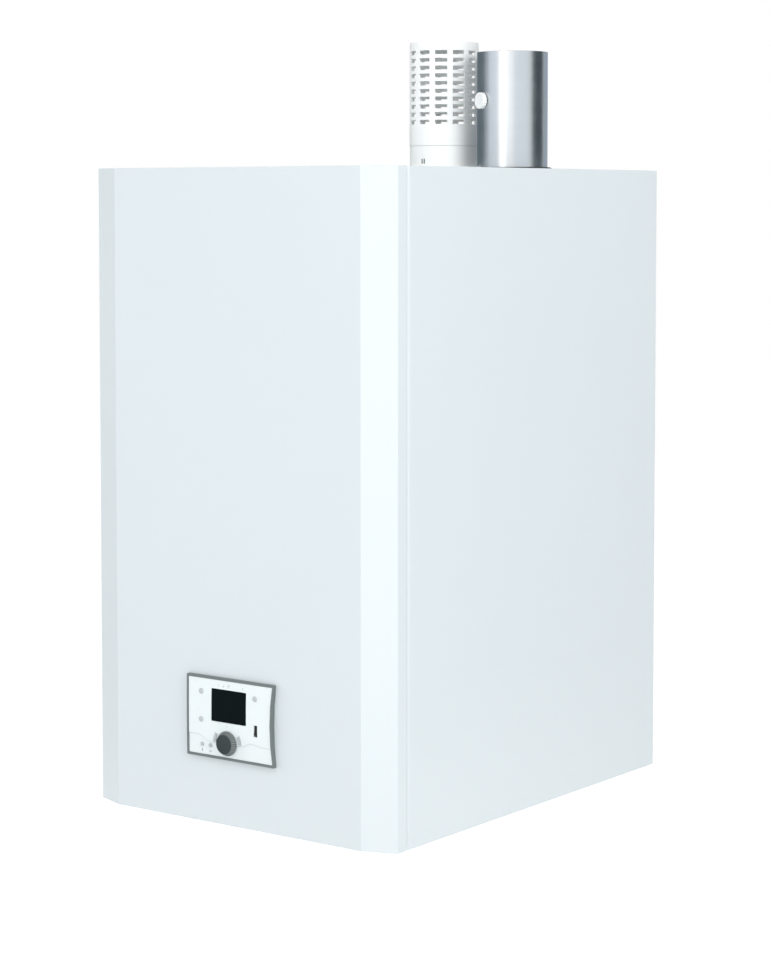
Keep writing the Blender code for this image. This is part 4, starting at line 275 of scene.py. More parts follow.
white_plastic = white_resin("white_plastic", Subsurface_Weight=0.1, Subsurface_Scale=2 * MM,
                            Subsurface_Radius=(1, 0.97, 0.93))
collar_plastic = white_resin("collar_plastic")
fascia_plastic = finish("fascia_plastic", (0.815, 0.875, 0.88), 0.3, shift=0.01, cloud=15, grain=3000,
                        depth=0.003, slot="white_plastic", Coat_Weight=0.15, Coat_Roughness=0.12)
bezel_grey = finish("bezel_grey", (0.15, 0.175, 0.175), 0.42, shift=0.05, cloud=30, grain=2600,
                    depth=0.012, slot="grey_plastic")
button_grey = finish("button_grey", (0.50, 0.53, 0.55), 0.5, shift=0.05, cloud=60, grain=3500,
                     depth=0.008)
knob_plastic = finish("knob_plastic", (0.007, 0.018, 0.018), 0.34, shift=0.12, cloud=80, grain=3200,
                      depth=0.008)
black_plastic = finish("black_plastic", (0.012, 0.013, 0.014), 0.45, shift=0.15, cloud=40, grain=2200,
                       depth=0.02, Specular_IOR_Level=0.25)
print("seven plastics")

# %% [markdown]
# ## Metals
# The flue is rolled stainless steel, polished round its girth, so its fine lines run round the tube:
# a noise stretched flat does that. The zinc coat on the rail and the back shows spangles, which a
# Voronoi pattern gives. Castings have the skin of the sand mould, and copper is dulled in patches.

# %% Stainless steel, zinc, cast aluminium, copper and brass
stainless = finish("stainless_steel", (0.60, 0.625, 0.645), 0.3, 1.0, shift=0.05, cloud=12, grain=260,
                   depth=0.0012, stretch=(1, 1, 6), uneven=0.04)
zinc = finish("galvanised_steel", (0.50, 0.52, 0.54), 0.42, 1.0, shift=0.15, cloud=50, grain=900,
              depth=0.006)
cast_aluminium = finish("cast_aluminium", (0.56, 0.565, 0.57), 0.52, 1.0, shift=0.14, cloud=35,
                        grain=1100, depth=0.09, uneven=0.14)
copper = finish("copper", (0.74, 0.36, 0.22), 0.3, 1.0, shift=0.25, cloud=28, grain=700,
                depth=0.004, stretch=(1, 1, 0.3), uneven=0.16)
brass = finish("brass", (0.72, 0.55, 0.26), 0.28, 1.0, shift=0.12, cloud=60, grain=900,
               depth=0.006, stretch=(1, 1, 6))

zinc_nodes = Nodes(zinc.node_tree)
spangle = zinc_nodes.node("ShaderNodeTexVoronoi", Vector=placed(zinc_nodes), Scale=130)
grey = zinc_nodes.node("ShaderNodeRGBToBW", spangle.outputs["Color"])
dressed(zinc, Base_Color=blend(zinc_nodes, grey, (0.40, 0.42, 0.44), (0.62, 0.64, 0.66)),
        Roughness=spread(zinc_nodes, grey, 0.32, 0.5, 0, 1))
print("five metals")

# %% [markdown]
# ## Rubber, glass, ceramic and circuit board
# The display's window is dark and polished, with the faint haze of wiping. The boards are green
# resist over copper tracks, and a brick pattern turned upright draws the tracks as a slight change
# of colour. The rubber is dull with a dusty bloom.

# %% The remaining finishes
black_rubber = finish("black_rubber", (0.022, 0.022, 0.023), 0.75, shift=0.2, cloud=60, grain=1600,
                      depth=0.02, uneven=0.1)
dark_glass = finish("dark_glass", (0.0025, 0.006, 0.007), 0.09, shift=0.2, cloud=30, grain=300,
                    depth=0.0005, uneven=0.06, IOR=1.5, Specular_IOR_Level=0.04)
ceramic = finish("ceramic", (0.80, 0.775, 0.72), 0.25, shift=0.05, cloud=90, grain=800,
                 depth=0.02, Coat_Weight=0.4, Coat_Roughness=0.08)
circuit_board = finish("circuit_board", (0.02, 0.15, 0.065), 0.35, shift=0.2, cloud=50, grain=1500,
                       depth=0.004)
board_nodes = Nodes(circuit_board.node_tree)
upright = board_nodes.node("ShaderNodeMapping", Vector=placed(board_nodes), Rotation=(math.pi / 2, 0, 0))
tracks = board_nodes.node("ShaderNodeTexBrick", Vector=upright, Scale=60, Mortar_Size=0.03)
dressed(circuit_board, Base_Color=blend(board_nodes, tracks.outputs["Fac"], (0.015, 0.13, 0.055),
                                        (0.05, 0.26, 0.12)))
print("rubber, glass, ceramic, board")

# %% [markdown]
# ## Finishing a piece
# A piece is done when its edges are soft, it lies in its CAD solid's place, rides on the same body
# and hides the solid. One function does that for every piece, and measures how far the piece's box
# is off the solid's.

# %% Objects, modifiers and soft edges
BODY_OF = {child.name: body for body, empty in frame["bodies"].items() for child in empty.children}


def object_of(data, name):
    made = bpy.data.objects.new(name, data)
    bpy.context.scene.collection.objects.link(made)
    return made


def object_from(mesh, name):
    """Makes an object of a bmesh, and frees the bmesh."""
    data = bpy.data.meshes.new(name)
    mesh.to_mesh(data)
    mesh.free()
    return object_of(data, name)


def applied(piece):
    """Turns the piece's modifiers into plain mesh."""
    graph = bpy.context.evaluated_depsgraph_get()
    mesh = bpy.data.meshes.new_from_object(piece.evaluated_get(graph))
    piece.modifiers.clear()
    piece.data = mesh
    return piece


def modify(piece, kind, **settings):
    modifier = piece.modifiers.new(kind, kind)
    for name, value in settings.items():
        setattr(modifier, name, value)


def soften(piece, width, segments, angle):
    """Rounds the sharp edges and shades by face area, so large flats stay flat up to the rounding."""
    if width:
        modify(piece, "BEVEL", width=width, segments=segments, limit_method="ANGLE",
               angle_limit=math.radians(angle), use_clamp_overlap=True)
    piece.data.shade_smooth()
    modify(piece, "WEIGHTED_NORMAL", keep_sharp=True, weight=90)
    applied(piece)


# %% One call that finishes a piece
def settle(piece, node, material, width=0, segments=2, angle=32):
    """Softens the piece, names it after its node, and lets it ride and stand for the node."""
    soften(piece, width, segments, angle)
    piece.name = node + "_skin"
    piece.data.name = piece.name
    piece.data.materials.clear()
    piece.data.materials.append(material)
    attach(piece, BODY_OF[node])
    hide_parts(node)
    off = max(max(abs(min(spots) - low), abs(max(spots) - high))
              for spots, low, high in zip(zip(*piece.bound_box), *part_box(node)))
    print(f"{node}: {len(piece.data.polygons)} faces, box off by {off / MM:.2f} mm")


# %% [markdown]
# ## Pieces that keep their solid's form
# Sheet metal, castings and mouldings already have their true outline. A copy of the solid's mesh is
# merged, its flat triangles are dissolved into whole faces, and its edges get the small radius that
# a brake press or a mould leaves. The light catches on those radii, and that is what makes a
# computed box read as bent steel.

# %% Refine copies of CAD solids
FLAT_WITHIN = math.radians(0.6)


def refined(material, width, *nodes, segments=2, angle=32):
    """Dresses copies of these nodes' solids, with their edges rounded to this width."""
    for node in nodes:
        mesh = bmesh.new()
        mesh.from_mesh(frame["nodes"][node].data)
        bmesh.ops.remove_doubles(mesh, verts=mesh.verts[:], dist=WELD)
        bmesh.ops.dissolve_limit(mesh, angle_limit=FLAT_WITHIN, verts=mesh.verts[:],
                                 edges=mesh.edges[:], use_dissolve_boundaries=False)
        settle(object_from(mesh, node), node, material, width, segments, angle)


refined(white_paint, 0.3 * MM, "left_side_panel", "right_side_panel", "top_panel", "bottom_panel",
        "front_cover")
refined(zinc, 0.3 * MM, "back_panel", "wall_rail", "hanger_hook", "block_stand", "control_tray")
refined(zinc, 0.15 * MM, "knob_encoder")

# %% Castings, mouldings and seals
refined(cast_aluminium, 1.2 * MM, "heat_exchanger", "burner_hood", "fan_housing", "gas_valve",
        "venturi", "inlet_elbow", segments=3)
refined(stainless, 0.6 * MM, "burner")
refined(black_plastic, 0.6 * MM, "fan_impeller", "fan_motor", "condensate_sump")
refined(black_plastic, 0.2 * MM, "control_unit_housing", "switch_body")
refined(circuit_board, 0.2 * MM, "control_board", "control_unit_board")
refined(black_rubber, 0.2 * MM, "cover_seal")
refined(ceramic, 0.4 * MM, "ignition_electrode")

# %% [markdown]
# ## Turning a profile
# Tubes, caps, seals and buttons are round, so each is a profile turned about its axis. The profile's
# corners are rounded first, because a corner fillet in a profile becomes a clean ring on the piece,
# which a bevel on the finished mesh can't always give.

# %% Round a profile's corners and turn it
EDGE_SHARE = 0.45
NEARLY_STRAIGHT = math.radians(175)
EAST = Vector((1, 0, 0))
ALONG = {"Y": Vector((0, 1, 0)), "Z": Vector((0, 0, 1))}


def filleted(points, radius, steps=3):
    """The closed profile with each corner turned into an arc, smaller where an edge is short."""
    result = []
    for i, point in enumerate(points):
        corner = Vector(point)
        before = Vector(points[i - 1]) - corner
        after = Vector(points[(i + 1) % len(points)]) - corner
        on_axis = abs(corner.x) < WELD
        reach = min(radius, EDGE_SHARE * before.length, EDGE_SHARE * after.length)
        if on_axis or before.angle(after) > NEARLY_STRAIGHT or reach < WELD:
            result.append(corner)
            continue
        start, end = corner + before.normalized() * reach, corner + after.normalized() * reach
        for k in range(steps + 1):
            t = k / steps
            result.append(start * (1 - t) ** 2 + corner * 2 * t * (1 - t) + end * t**2)
    return result


def turned(profile, axis, centre, segments=96, fillet=0.0):
    """A closed profile of (radius, height) turned about an axis through the centre."""
    along = ALONG[axis]
    points = filleted(profile, fillet) if fillet else [Vector(p) for p in profile]
    mesh = bmesh.new()
    ring = [mesh.verts.new(centre + EAST * p.x + along * p.y) for p in points]
    for i, point in enumerate(ring):
        mesh.edges.new((ring[i - 1], point))
    bmesh.ops.spin(mesh, geom=mesh.verts[:] + mesh.edges[:], cent=centre, axis=along,
                   angle=2 * math.pi, steps=segments, use_merge=True)
    bmesh.ops.remove_doubles(mesh, verts=mesh.verts[:], dist=WELD / 10)
    loose = [edge for edge in mesh.edges if not edge.link_faces]
    bmesh.ops.delete(mesh, geom=loose, context="EDGES")
    bmesh.ops.recalc_face_normals(mesh, faces=mesh.faces[:])
    return object_from(mesh, "turned")


def turned_ring(inner, outer, low, high, axis, centre, segments=96, fillet=0.0):
    """A turned ring between two radii and two heights."""
    profile = [(inner, low), (outer, low), (outer, high), (inner, high)]
    return turned(profile, axis, centre, segments, fillet)


print("a profile of 4 corners becomes", len(filleted([(1, 0), (2, 0), (2, 3), (1, 3)], 0.1)), "points")

# %% [markdown]
# ## The air terminal
# The boiler draws its air through this capped sleeve: rows of narrow windows between upright ribs,
# and a lid that keeps the rain out. It could be cut from a tube with 120 Booleans, but its form
# follows a rule, so Geometry Nodes build it. A flat grid is bent into a sleeve, the faces where the
# windows are get deleted, and the rest is thickened outwards. Changing the number of rows or the
# angle of a window is then one input.


# %% A Geometry Nodes tree with named inputs
class Tree(Nodes):
    """A Geometry Nodes tree with a named input for each size or whole number."""

    def __init__(self, name, labels, whole_numbers):
        super().__init__(bpy.data.node_groups.new(name, "GeometryNodeTree"))
        face = self.tree.interface
        face.new_socket("Geometry", in_out="INPUT", socket_type="NodeSocketGeometry")
        for label in labels:
            kind = "NodeSocketInt" if label in whole_numbers else "NodeSocketFloat"
            face.new_socket(label, in_out="INPUT", socket_type=kind)
        face.new_socket("Geometry", in_out="OUTPUT", socket_type="NodeSocketGeometry")
        self.given = {out.name: Field(self, out) for out in self.node("NodeGroupInput").outputs}
        self.result = self.node("NodeGroupOutput")

    def place(self):
        """The X, Y and Z of each point, as fields."""
        return self.split(self.node("GeometryNodeInputPosition"))

    def vector(self, x, y, z):
        return self.node("ShaderNodeCombineXYZ", x, y, z)

    def pick(self, condition, no, yes):
        made = self.node("GeometryNodeSwitch", condition, no, yes, settings={"input_type": "FLOAT"})
        return Field(self, made.outputs[0])

    def joined(self, *geometries):
        join = self.node("GeometryNodeJoinGeometry")
        for geometry in geometries:
            self.feed(join.inputs[0], geometry)
        return join

    def end(self, geometry, material):
        """Ends the tree as the export needs it: real mesh with its material set."""
        real = self.node("GeometryNodeRealizeInstances", geometry)
        self.fill(self.result, self.node("GeometryNodeSetMaterial", real, Material=material))
        print(self.tree.name, "tree:", len(self.tree.nodes), "nodes")


def grown(tree, start, values):
    """Runs the tree on an object with these input values and returns the plain mesh object."""
    modifier = start.modifiers.new("grown", "NODES")
    modifier.node_group = tree.tree
    sockets = {s.name: s.identifier for s in tree.tree.interface.items_tree if s.in_out == "INPUT"}
    for label, value in values.items():
        modifier[sockets[label]] = value
    return applied(start)


print("tree helpers ready")

# %% The terminal's sizes
GRILLE_LOW, GRILLE_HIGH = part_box("air_grille")
AIR_AXIS = Vector((*middle("air_grille").xy, 0))
DUCT_RADIUS = 50 * MM
GRILLE_WALL = 2.5 * MM
WINDOW_DEGREES = 20.5
terminal_sizes = {
    "Radius": DUCT_RADIUS,
    "Wall": GRILLE_WALL,
    "Foot": GRILLE_LOW.z,
    "Top": GRILLE_HIGH.z,
    "Rows": 10,
    "Columns": 12,
    "Pitch": 11 * MM,
    "Window Height": 5.9 * MM,
    "Window Angle": math.radians(WINDOW_DEGREES),
    "First Row": 16 * MM,
    "Rim": 1.5 * MM,
}
print(f"terminal {(GRILLE_HIGH.z - GRILLE_LOW.z) / MM:.0f} mm high")

# %% The terminal's tree: a flat grid without the windows' faces
FACES_A_WINDOW = 5
FACES_A_RIB = 3
FACES_A_COLUMN = FACES_A_WINDOW + FACES_A_RIB
RIM_STEPS = 3
LID_STEPS = 2
LEVELS_BESIDES = RIM_STEPS + LID_STEPS + 2
terminal = Tree("air terminal", terminal_sizes, ("Rows", "Columns"))
give = terminal.given
m = terminal.maths
around_count = give["Columns"] * FACES_A_COLUMN
level_count = give["Rows"] * 2 + LEVELS_BESIDES
grid = terminal.node("GeometryNodeMeshGrid", Size_X=around_count, Size_Y=level_count - 1,
                     Vertices_X=around_count + 1, Vertices_Y=level_count)
grid_x, grid_y, _ = terminal.place()
across = grid_x + around_count / 2
upward = grid_y + (level_count - 1) / 2

is_window = m("LESS_THAN", m("FLOOR", across) % FACES_A_COLUMN, FACES_A_WINDOW - 0.5)
row_level = m("FLOOR", upward)
odd_level = m("COMPARE", row_level % 2, 1, 0.1)
below_lid = m("LESS_THAN", row_level, give["Rows"] * 2)
opened = terminal.node("GeometryNodeDeleteGeometry", grid, is_window * odd_level * below_lid,
                       settings={"domain": "FACE"})
print("faces round the flat grid:", terminal_sizes["Columns"] * FACES_A_COLUMN)

# %% Bend the grid: the angle round the sleeve
column = m("FLOOR", m("ROUND", across) / FACES_A_COLUMN)
step = m("ROUND", across) - column * FACES_A_COLUMN
turn = 2 * math.pi / give["Columns"]
window_part = m("MINIMUM", step, FACES_A_WINDOW) / FACES_A_WINDOW * give["Window Angle"]
rib_part = m("MAXIMUM", step - FACES_A_WINDOW, 0) / FACES_A_RIB * (turn - give["Window Angle"])
angle = column * turn + (window_part + rib_part) - give["Window Angle"] / 2
print("one column spans", 360 / terminal_sizes["Columns"], "degrees")

# %% Bend the grid: heights of the windows, the rim and the lid
level = m("ROUND", upward)
first_edge = (give["Top"] - give["First Row"] - (give["Rows"] - 1) * give["Pitch"]
              - give["Window Height"] / 2)
pair = m("FLOOR", (level - 1) / 2)
is_upper = (level - 1) % 2
window_height = first_edge + (pair * give["Pitch"] + is_upper * give["Window Height"])
above = level - (give["Rows"] * 2 + 1)
lean = m("MINIMUM", m("MAXIMUM", above, 0), RIM_STEPS) / RIM_STEPS * (math.pi / 2)
inward = 1 - m("MINIMUM", m("MAXIMUM", above - RIM_STEPS, 0), LID_STEPS) / LID_STEPS
in_lid = m("GREATER_THAN", above, -0.5)
at_foot = m("LESS_THAN", level, 0.5)
outer_height = terminal.pick(in_lid, terminal.pick(at_foot, window_height, give["Foot"]),
                             give["Top"] - give["Rim"] * (1 - m("SINE", lean)))
inner_height = terminal.pick(in_lid, outer_height, give["Top"] - give["Wall"])
outer_radius = inward * (give["Radius"] - give["Rim"] * (1 - m("COSINE", lean)))
inner_radius = inward * (give["Radius"] - give["Wall"])
print("levels up the sleeve:", 2 * terminal_sizes["Rows"] + LEVELS_BESIDES)


# %% Thicken the wall, close it and run the tree
def on_sleeve(radius, height):
    return terminal.vector(radius * m("SINE", angle) + AIR_AXIS.x,
                           AIR_AXIS.y - radius * m("COSINE", angle), height)


def welded(geometry):
    return terminal.node("GeometryNodeMergeByDistance", geometry, Distance=WELD)


A_VECTOR = {"data_type": "FLOAT_VECTOR"}
kept = opened
wall_places = {}
for label, vector in (("inner place", on_sleeve(inner_radius, inner_height)),
                      ("outer place", on_sleeve(outer_radius, outer_height))):
    kept = terminal.node("GeometryNodeStoreNamedAttribute", settings=A_VECTOR,
                         Geometry=kept, Name=label, Value=vector)
    wall_places[label] = terminal.node("GeometryNodeInputNamedAttribute", label, settings=A_VECTOR)
inner_wall = terminal.node("GeometryNodeSetPosition", kept, Position=wall_places["inner place"])
closed_ring = welded(inner_wall)
thick = terminal.node("GeometryNodeExtrudeMesh", closed_ring, Offset_Scale=0.0, Individual=False)
outer_wall = terminal.node("GeometryNodeSetPosition", thick, thick.outputs["Top"],
                           wall_places["outer place"])
flipped = terminal.node("GeometryNodeFlipFaces", closed_ring)
terminal.end(welded(terminal.joined(outer_wall, flipped)), white_plastic)
terminal_sleeve = grown(terminal, object_of(bpy.data.meshes.new("terminal"), "terminal"), terminal_sizes)
print("terminal:", len(terminal_sleeve.data.polygons), "faces")

# %% Tidy and place the terminal
sleeve_mesh = bmesh.new()
sleeve_mesh.from_mesh(terminal_sleeve.data)
bmesh.ops.remove_doubles(sleeve_mesh, verts=sleeve_mesh.verts[:], dist=WELD)
bmesh.ops.recalc_face_normals(sleeve_mesh, faces=sleeve_mesh.faces[:])
open_edges = sum(1 for edge in sleeve_mesh.edges if len(edge.link_faces) != 2)
sleeve_mesh.to_mesh(terminal_sleeve.data)
sleeve_mesh.free()
print("edges that aren't shared by two faces:", open_edges)
settle(terminal_sleeve, "air_grille", white_plastic, 0.35 * MM, 2, 40)

# %% [markdown]
# ## Collar, flue and seals
# The terminal slips onto a collar with a wide flange, and the flue outlet beside it is a plain
# stainless spigot with the edge rolled smooth. Both are turned profiles. Two short slots in the
# collar's front are cut with an exact Boolean, and their depth is darkened with painted shade.

# %% The collar under the terminal
COLLAR_LOW, COLLAR_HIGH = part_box("air_collar")
collar_radius = DUCT_RADIUS - 2 * GAP
spigot_radius = (DUCT_RADIUS - GRILLE_WALL) * math.cos(math.radians(WINDOW_DEGREES / 2)) - GAP
spigot_bore = spigot_radius - GRILLE_WALL
collar_step = GRILLE_LOW.z - GAP
FLANGE_LIFT = 2 * MM
FLANGE_HEIGHT = 2.6 * MM
flange_low = CASING_TOP + FLANGE_LIFT
flange_top = flange_low + FLANGE_HEIGHT
flange_radius = collar_radius + 9 * MM
collar = turned([
    (spigot_bore, COLLAR_LOW.z), (collar_radius, COLLAR_LOW.z), (collar_radius, flange_low),
    (flange_radius, flange_low), (flange_radius, flange_top), (collar_radius, flange_top),
    (collar_radius, collar_step), (spigot_radius, collar_step), (spigot_radius, COLLAR_HIGH.z),
    (spigot_bore, COLLAR_HIGH.z),
], "Z", AIR_AXIS, 120, 0.5 * MM)
print(f"collar's spigot: {spigot_radius / MM:.1f} mm in radius")

# %% Its two slots
SLOTS_LEFT = 2 * MM
SLOT_SPACING = 3.8 * MM
SLOT_HEIGHT = 7 * MM
SLOT_WIDTH = 2.3 * MM
SLOT_DEPTH = 2.4 * MM
SLOT_LOW = flange_top + 5 * MM
OUTSIDE = 60 * MM


def combined(piece, tool, operation="DIFFERENCE"):
    """Cuts the tool out of the piece, or joins the two with UNION, and removes the tool."""
    modify(piece, "BOOLEAN", operation=operation, object=tool)
    applied(piece)
    bpy.data.objects.remove(tool)


def plain_box(low, high):
    mesh = bmesh.new()
    bmesh.ops.create_cube(mesh, size=1)
    centre, size = (Vector(low) + Vector(high)) / 2, Vector(high) - Vector(low)
    for vert in mesh.verts:
        vert.co = Vector(a * b for a, b in zip(vert.co, size)) + centre
    return object_from(mesh, "box")


for side in (-1, 1):
    x = AIR_AXIS.x - SLOTS_LEFT + side * SLOT_SPACING / 2
    low = (x - SLOT_WIDTH / 2, AIR_AXIS.y - OUTSIDE, SLOT_LOW)
    high = (x + SLOT_WIDTH / 2, AIR_AXIS.y - collar_radius + SLOT_DEPTH, SLOT_LOW + SLOT_HEIGHT)
    combined(collar, plain_box(low, high))
settle(collar, "air_collar", collar_plastic)

# %% Painted shade: black in the depth of the slots
SLOT_SHADE_BLACK = (0.02, 0.022, 0.023)
PATCH_REACH = 5 * MM
collar_nodes = Nodes(collar_plastic.node_tree)
slots_middle = (AIR_AXIS.x - SLOTS_LEFT, 0, SLOT_LOW + SLOT_HEIGHT / 2)
from_slots = distance(collar_nodes, (1 / PATCH_REACH, 0, 1 / SLOT_HEIGHT), slots_middle)
near_slots = spread(collar_nodes, from_slots, 1.0, 0.0, 0.9, 1.0)
from_middle = distance(collar_nodes, (PER_MM, PER_MM, 0), AIR_AXIS)
outer_skin = collar_radius / MM
inside = spread(collar_nodes, from_middle, 1.0, 0.0, outer_skin - 0.8, outer_skin - 0.3)
# Painted shade: the collar's skin inside the two slots is darkened as if it lay in shade.
tinted(collar_plastic, inside * near_slots, SLOT_SHADE_BLACK)
print("slots:", SLOT_DEPTH / MM, "mm deep")

# %% Flue outlet and riser
STEEL = 1 * MM
PORT_RADIUS = 8 * MM
PORT_TURN = math.radians(-22.5)
FLUE_LOW, FLUE_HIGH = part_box("flue_outlet")
FLUE_AXIS = Vector((middle("flue_outlet").x, AIR_AXIS.y, 0))
PORT_AXIS = Vector((FLUE_AXIS.x, 0, middle("sampling_port").z))
flue = turned_ring(DUCT_RADIUS - STEEL, DUCT_RADIUS, FLUE_LOW.z, FLUE_HIGH.z, "Z", FLUE_AXIS, 144,
                   0.45 * MM)


def swung(piece):
    """Turns a piece that was made on the flue's front round the flue's axis, to the port's place."""
    there = Matrix.Translation(FLUE_AXIS) @ Matrix.Rotation(PORT_TURN, 4, "Z")
    piece.data.transform(there @ Matrix.Translation(-FLUE_AXIS))
    return piece


port_hole = turned_ring(0, PORT_RADIUS + GAP, FLUE_LOW.y - 5 * MM, FLUE_AXIS.y, "Y", PORT_AXIS, 48)
combined(flue, swung(port_hole))
settle(flue, "flue_outlet", stainless)
RISER_LOW, RISER_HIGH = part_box("flue_riser")
riser_radius = (RISER_HIGH.x - RISER_LOW.x) / 2
riser = turned_ring(riser_radius - STEEL, riser_radius, RISER_LOW.z, RISER_HIGH.z, "Z", FLUE_AXIS, 96,
                    0.4 * MM)
settle(riser, "flue_riser", stainless)

# %% The two rubber seals on the top
low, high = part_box("air_seal")
outer = (high.x - low.x) / 2
air_seal = turned_ring(collar_radius + GAP, outer, low.z, high.z, "Z", AIR_AXIS, 96, 0.3 * MM)
settle(air_seal, "air_seal", black_rubber)
low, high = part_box("flue_seal")
inner, neck, outer = DUCT_RADIUS + GAP, DUCT_RADIUS + 3 * MM, (high.x - low.x) / 2
below, above_panel = CASING_TOP - 1.5 * MM, CASING_TOP + GAP
flue_seal = turned([(inner, low.z), (outer, low.z), (outer, below), (neck, below), (neck, above_panel),
                    (outer, above_panel), (neck + 1 * MM, high.z), (inner, high.z)],
                   "Z", FLUE_AXIS, 96, 0.6 * MM)
settle(flue_seal, "flue_seal", black_rubber)

# %% [markdown]
# ## Sampling port and its cap
# A short branch on the flue takes the probe of a flue gas analyser, and a ribbed push-on cap closes
# it. The cap's grip is a turned cup whose wall is pushed in along flutes. Geometry Nodes do that
# for the cap and for the selector knob with one tree.

# %% The port
PORT_BORE = 6 * MM
root = FLUE_LOW.y
port_inside, port_mouth = root + 3 * MM, root - 4.5 * MM
port = turned_ring(PORT_BORE, PORT_RADIUS, port_inside, port_mouth, "Y", PORT_AXIS, 64, 0.5 * MM)
settle(swung(port), "sampling_port", white_plastic)

# %% A tree that flutes a turned piece
SHARPNESS = 0.7
fluting = Tree("flutes about Y", ("Centre X", "Centre Z", "Flutes", "Depth", "From Y", "To Y",
                                  "Least Radius"), ("Flutes",))
give = fluting.given
m = fluting.maths
spot_x, spot_y, spot_z = fluting.place()
east, north = spot_x - give["Centre X"], spot_z - give["Centre Z"]
reach = m("SQRT", east * east + north * north)
wave = m("SINE", give["Flutes"] / 2 * m("ARCTAN2", north, east))
wave = m("POWER", m("ABSOLUTE", wave), SHARPNESS)
on_wall = m("GREATER_THAN", spot_y, give["From Y"]) * m("LESS_THAN", spot_y, give["To Y"])
on_wall = on_wall * m("GREATER_THAN", reach, give["Least Radius"])
cut_in = (1 - wave) * give["Depth"] * on_wall
share = 1 - cut_in / m("MAXIMUM", reach, 0.1 * MM)
fluted_place = fluting.vector(give["Centre X"] + east * share, spot_y, give["Centre Z"] + north * share)
fluting.end(fluting.node("GeometryNodeSetPosition", give["Geometry"], Position=fluted_place), white_plastic)


def flute(piece, axis, flutes, depth, start, end, least_radius):
    """Flutes a piece between two depths along Y, outside a least radius from the axis."""
    grown(fluting, piece, {"Centre X": axis.x, "Centre Z": axis.z, "Flutes": flutes, "Depth": depth,
                           "From Y": start, "To Y": end, "Least Radius": least_radius})


# %% The cap
CAP_RADIUS = 11.5 * MM
CAP_FLUTES = 14
CAP_DISH = 0.5 * MM
CAP_STEPS = 6
bore = PORT_RADIUS + GAP
cap_seat = port_mouth - GAP
cap_face, cap_back = cap_seat - 1.7 * MM, root - 2 * GAP
cap_wall = [(CAP_RADIUS, cap_face + (cap_back - cap_face) * k / CAP_STEPS) for k in range(CAP_STEPS)]
cap_middle = cap_face + CAP_DISH
cap = turned([(0, cap_middle), (CAP_RADIUS * 0.62, cap_middle), (CAP_RADIUS * 0.7, cap_face)] + cap_wall
             + [(CAP_RADIUS, cap_back), (bore, cap_back), (bore, cap_seat), (0, cap_seat)],
             "Y", PORT_AXIS, 144, 0.7 * MM)
flute(cap, PORT_AXIS, CAP_FLUTES, 0.7 * MM, cap_face + 0.6 * MM, cap_back + 1 * MM, 0.9 * CAP_RADIUS)
settle(swung(cap), "sampling_cap", white_plastic)

# %% [markdown]
# ## The control panel
# The panel is a slightly crowned moulding with waisted sides. Its grey bezel, its white fascia with
# the gentle wave of its lower edge, the dark window and the buttons are separate pieces, so each is
# refined by itself. The small fillets matter most here, because the panel is what one looks at.

# %% Print and painted shade on the fascia: soft printed spots, and painted shade along the wave's step
PANEL_MIDDLE = middle("panel_bezel")
PRINT_AND_STEP_SHADE_GREY = (0.30, 0.34, 0.34)
# Each spot has its x and z from the panel's middle, its width and height in mm, and its strength.
SPOTS = (
    (-19.2, 44.0, 1.4, 4.6, 0.30), (-10.6, 43.6, 2.6, 2.6, 0.55), (-2.0, 44.6, 4.2, 5.0, 0.30),
    (22.0, 44.0, 3.6, 2.2, 0.35), (-48.2, -45.4, 2.4, 4.4, 0.85), (-34.2, -45.8, 5.2, 2.6, 0.55),
    (-18.3, -6.4, 2.6, 2.2, 0.28), (-4.7, -9.0, 3.4, 2.6, 0.22),
)
# Each part of the wave has the x of its start and end and its rise, in mm.
WAVE_PARTS = ((-55, -34, -8.0), (20, 36, 5.5), (36, 58, -2.5))
WAVE_START = -25.0
STEP_SHADE_THICKNESS = 1.1
STEP_SHADE_STRENGTH = 0.34


def on_panel(x, z):
    """A point of the panel's face, from its middle."""
    return PANEL_MIDDLE.x + x, 0, PANEL_MIDDLE.z + z


def round_mask(nodes, x, z, width, height):
    """1 inside an ellipse on the panel, falling to 0 at its rim."""
    away = distance(nodes, (2 / width, 0, 2 / height), on_panel(x, z))
    return spread(nodes, away, 1.0, 0.0, 0.7, 1.2)


def step_shade_mask(nodes, thickness):
    """1 on the step's line, where the step's shade is painted: its height is a sum of smooth rises along
    the panel.
    """
    along, _, upward = nodes.split(placed(nodes, (PER_MM, PER_MM, PER_MM), on_panel(0, 0)))
    height = WAVE_START
    for start, end, rise in WAVE_PARTS:
        height = spread(nodes, along, 0.0, rise, start, end, "SMOOTHSTEP") + height
    return spread(nodes, nodes.maths("ABSOLUTE", upward - height), 1.0, 0.0, 0.0, thickness)


fascia_nodes = Nodes(fascia_plastic.node_tree)
for *sizes, strength in SPOTS:
    mask = round_mask(fascia_nodes, *(size * MM for size in sizes))
    tinted(fascia_plastic, mask * strength, PRINT_AND_STEP_SHADE_GREY)
# Painted shade: a thin grey line along the wave's low step, where the step's edge would cast shade.
tinted(fascia_plastic, step_shade_mask(fascia_nodes, STEP_SHADE_THICKNESS) * STEP_SHADE_STRENGTH, PRINT_AND_STEP_SHADE_GREY)
print(len(SPOTS), "printed spots and one line")

# %% Bezel, fascia and window
refined(bezel_grey, 0.7 * MM, "panel_bezel", segments=3, angle=25)
refined(fascia_plastic, 0.15 * MM, "panel_fascia", angle=40)
refined(dark_glass, 0.12 * MM, "display_window", angle=40)
refined(black_plastic, 0.3 * MM, "power_switch")
refined(button_grey, 0.35 * MM, "button_left_crescent", "button_right_crescent", segments=3)

# %% [markdown]
# ## Round buttons
# Five soft push buttons stand a little proud of the fascia. Each has a domed cap, a rim behind the
# fascia that keeps it in, and a stem down to the switch on the board. They differ only in radius and
# place, so one function turns them all.

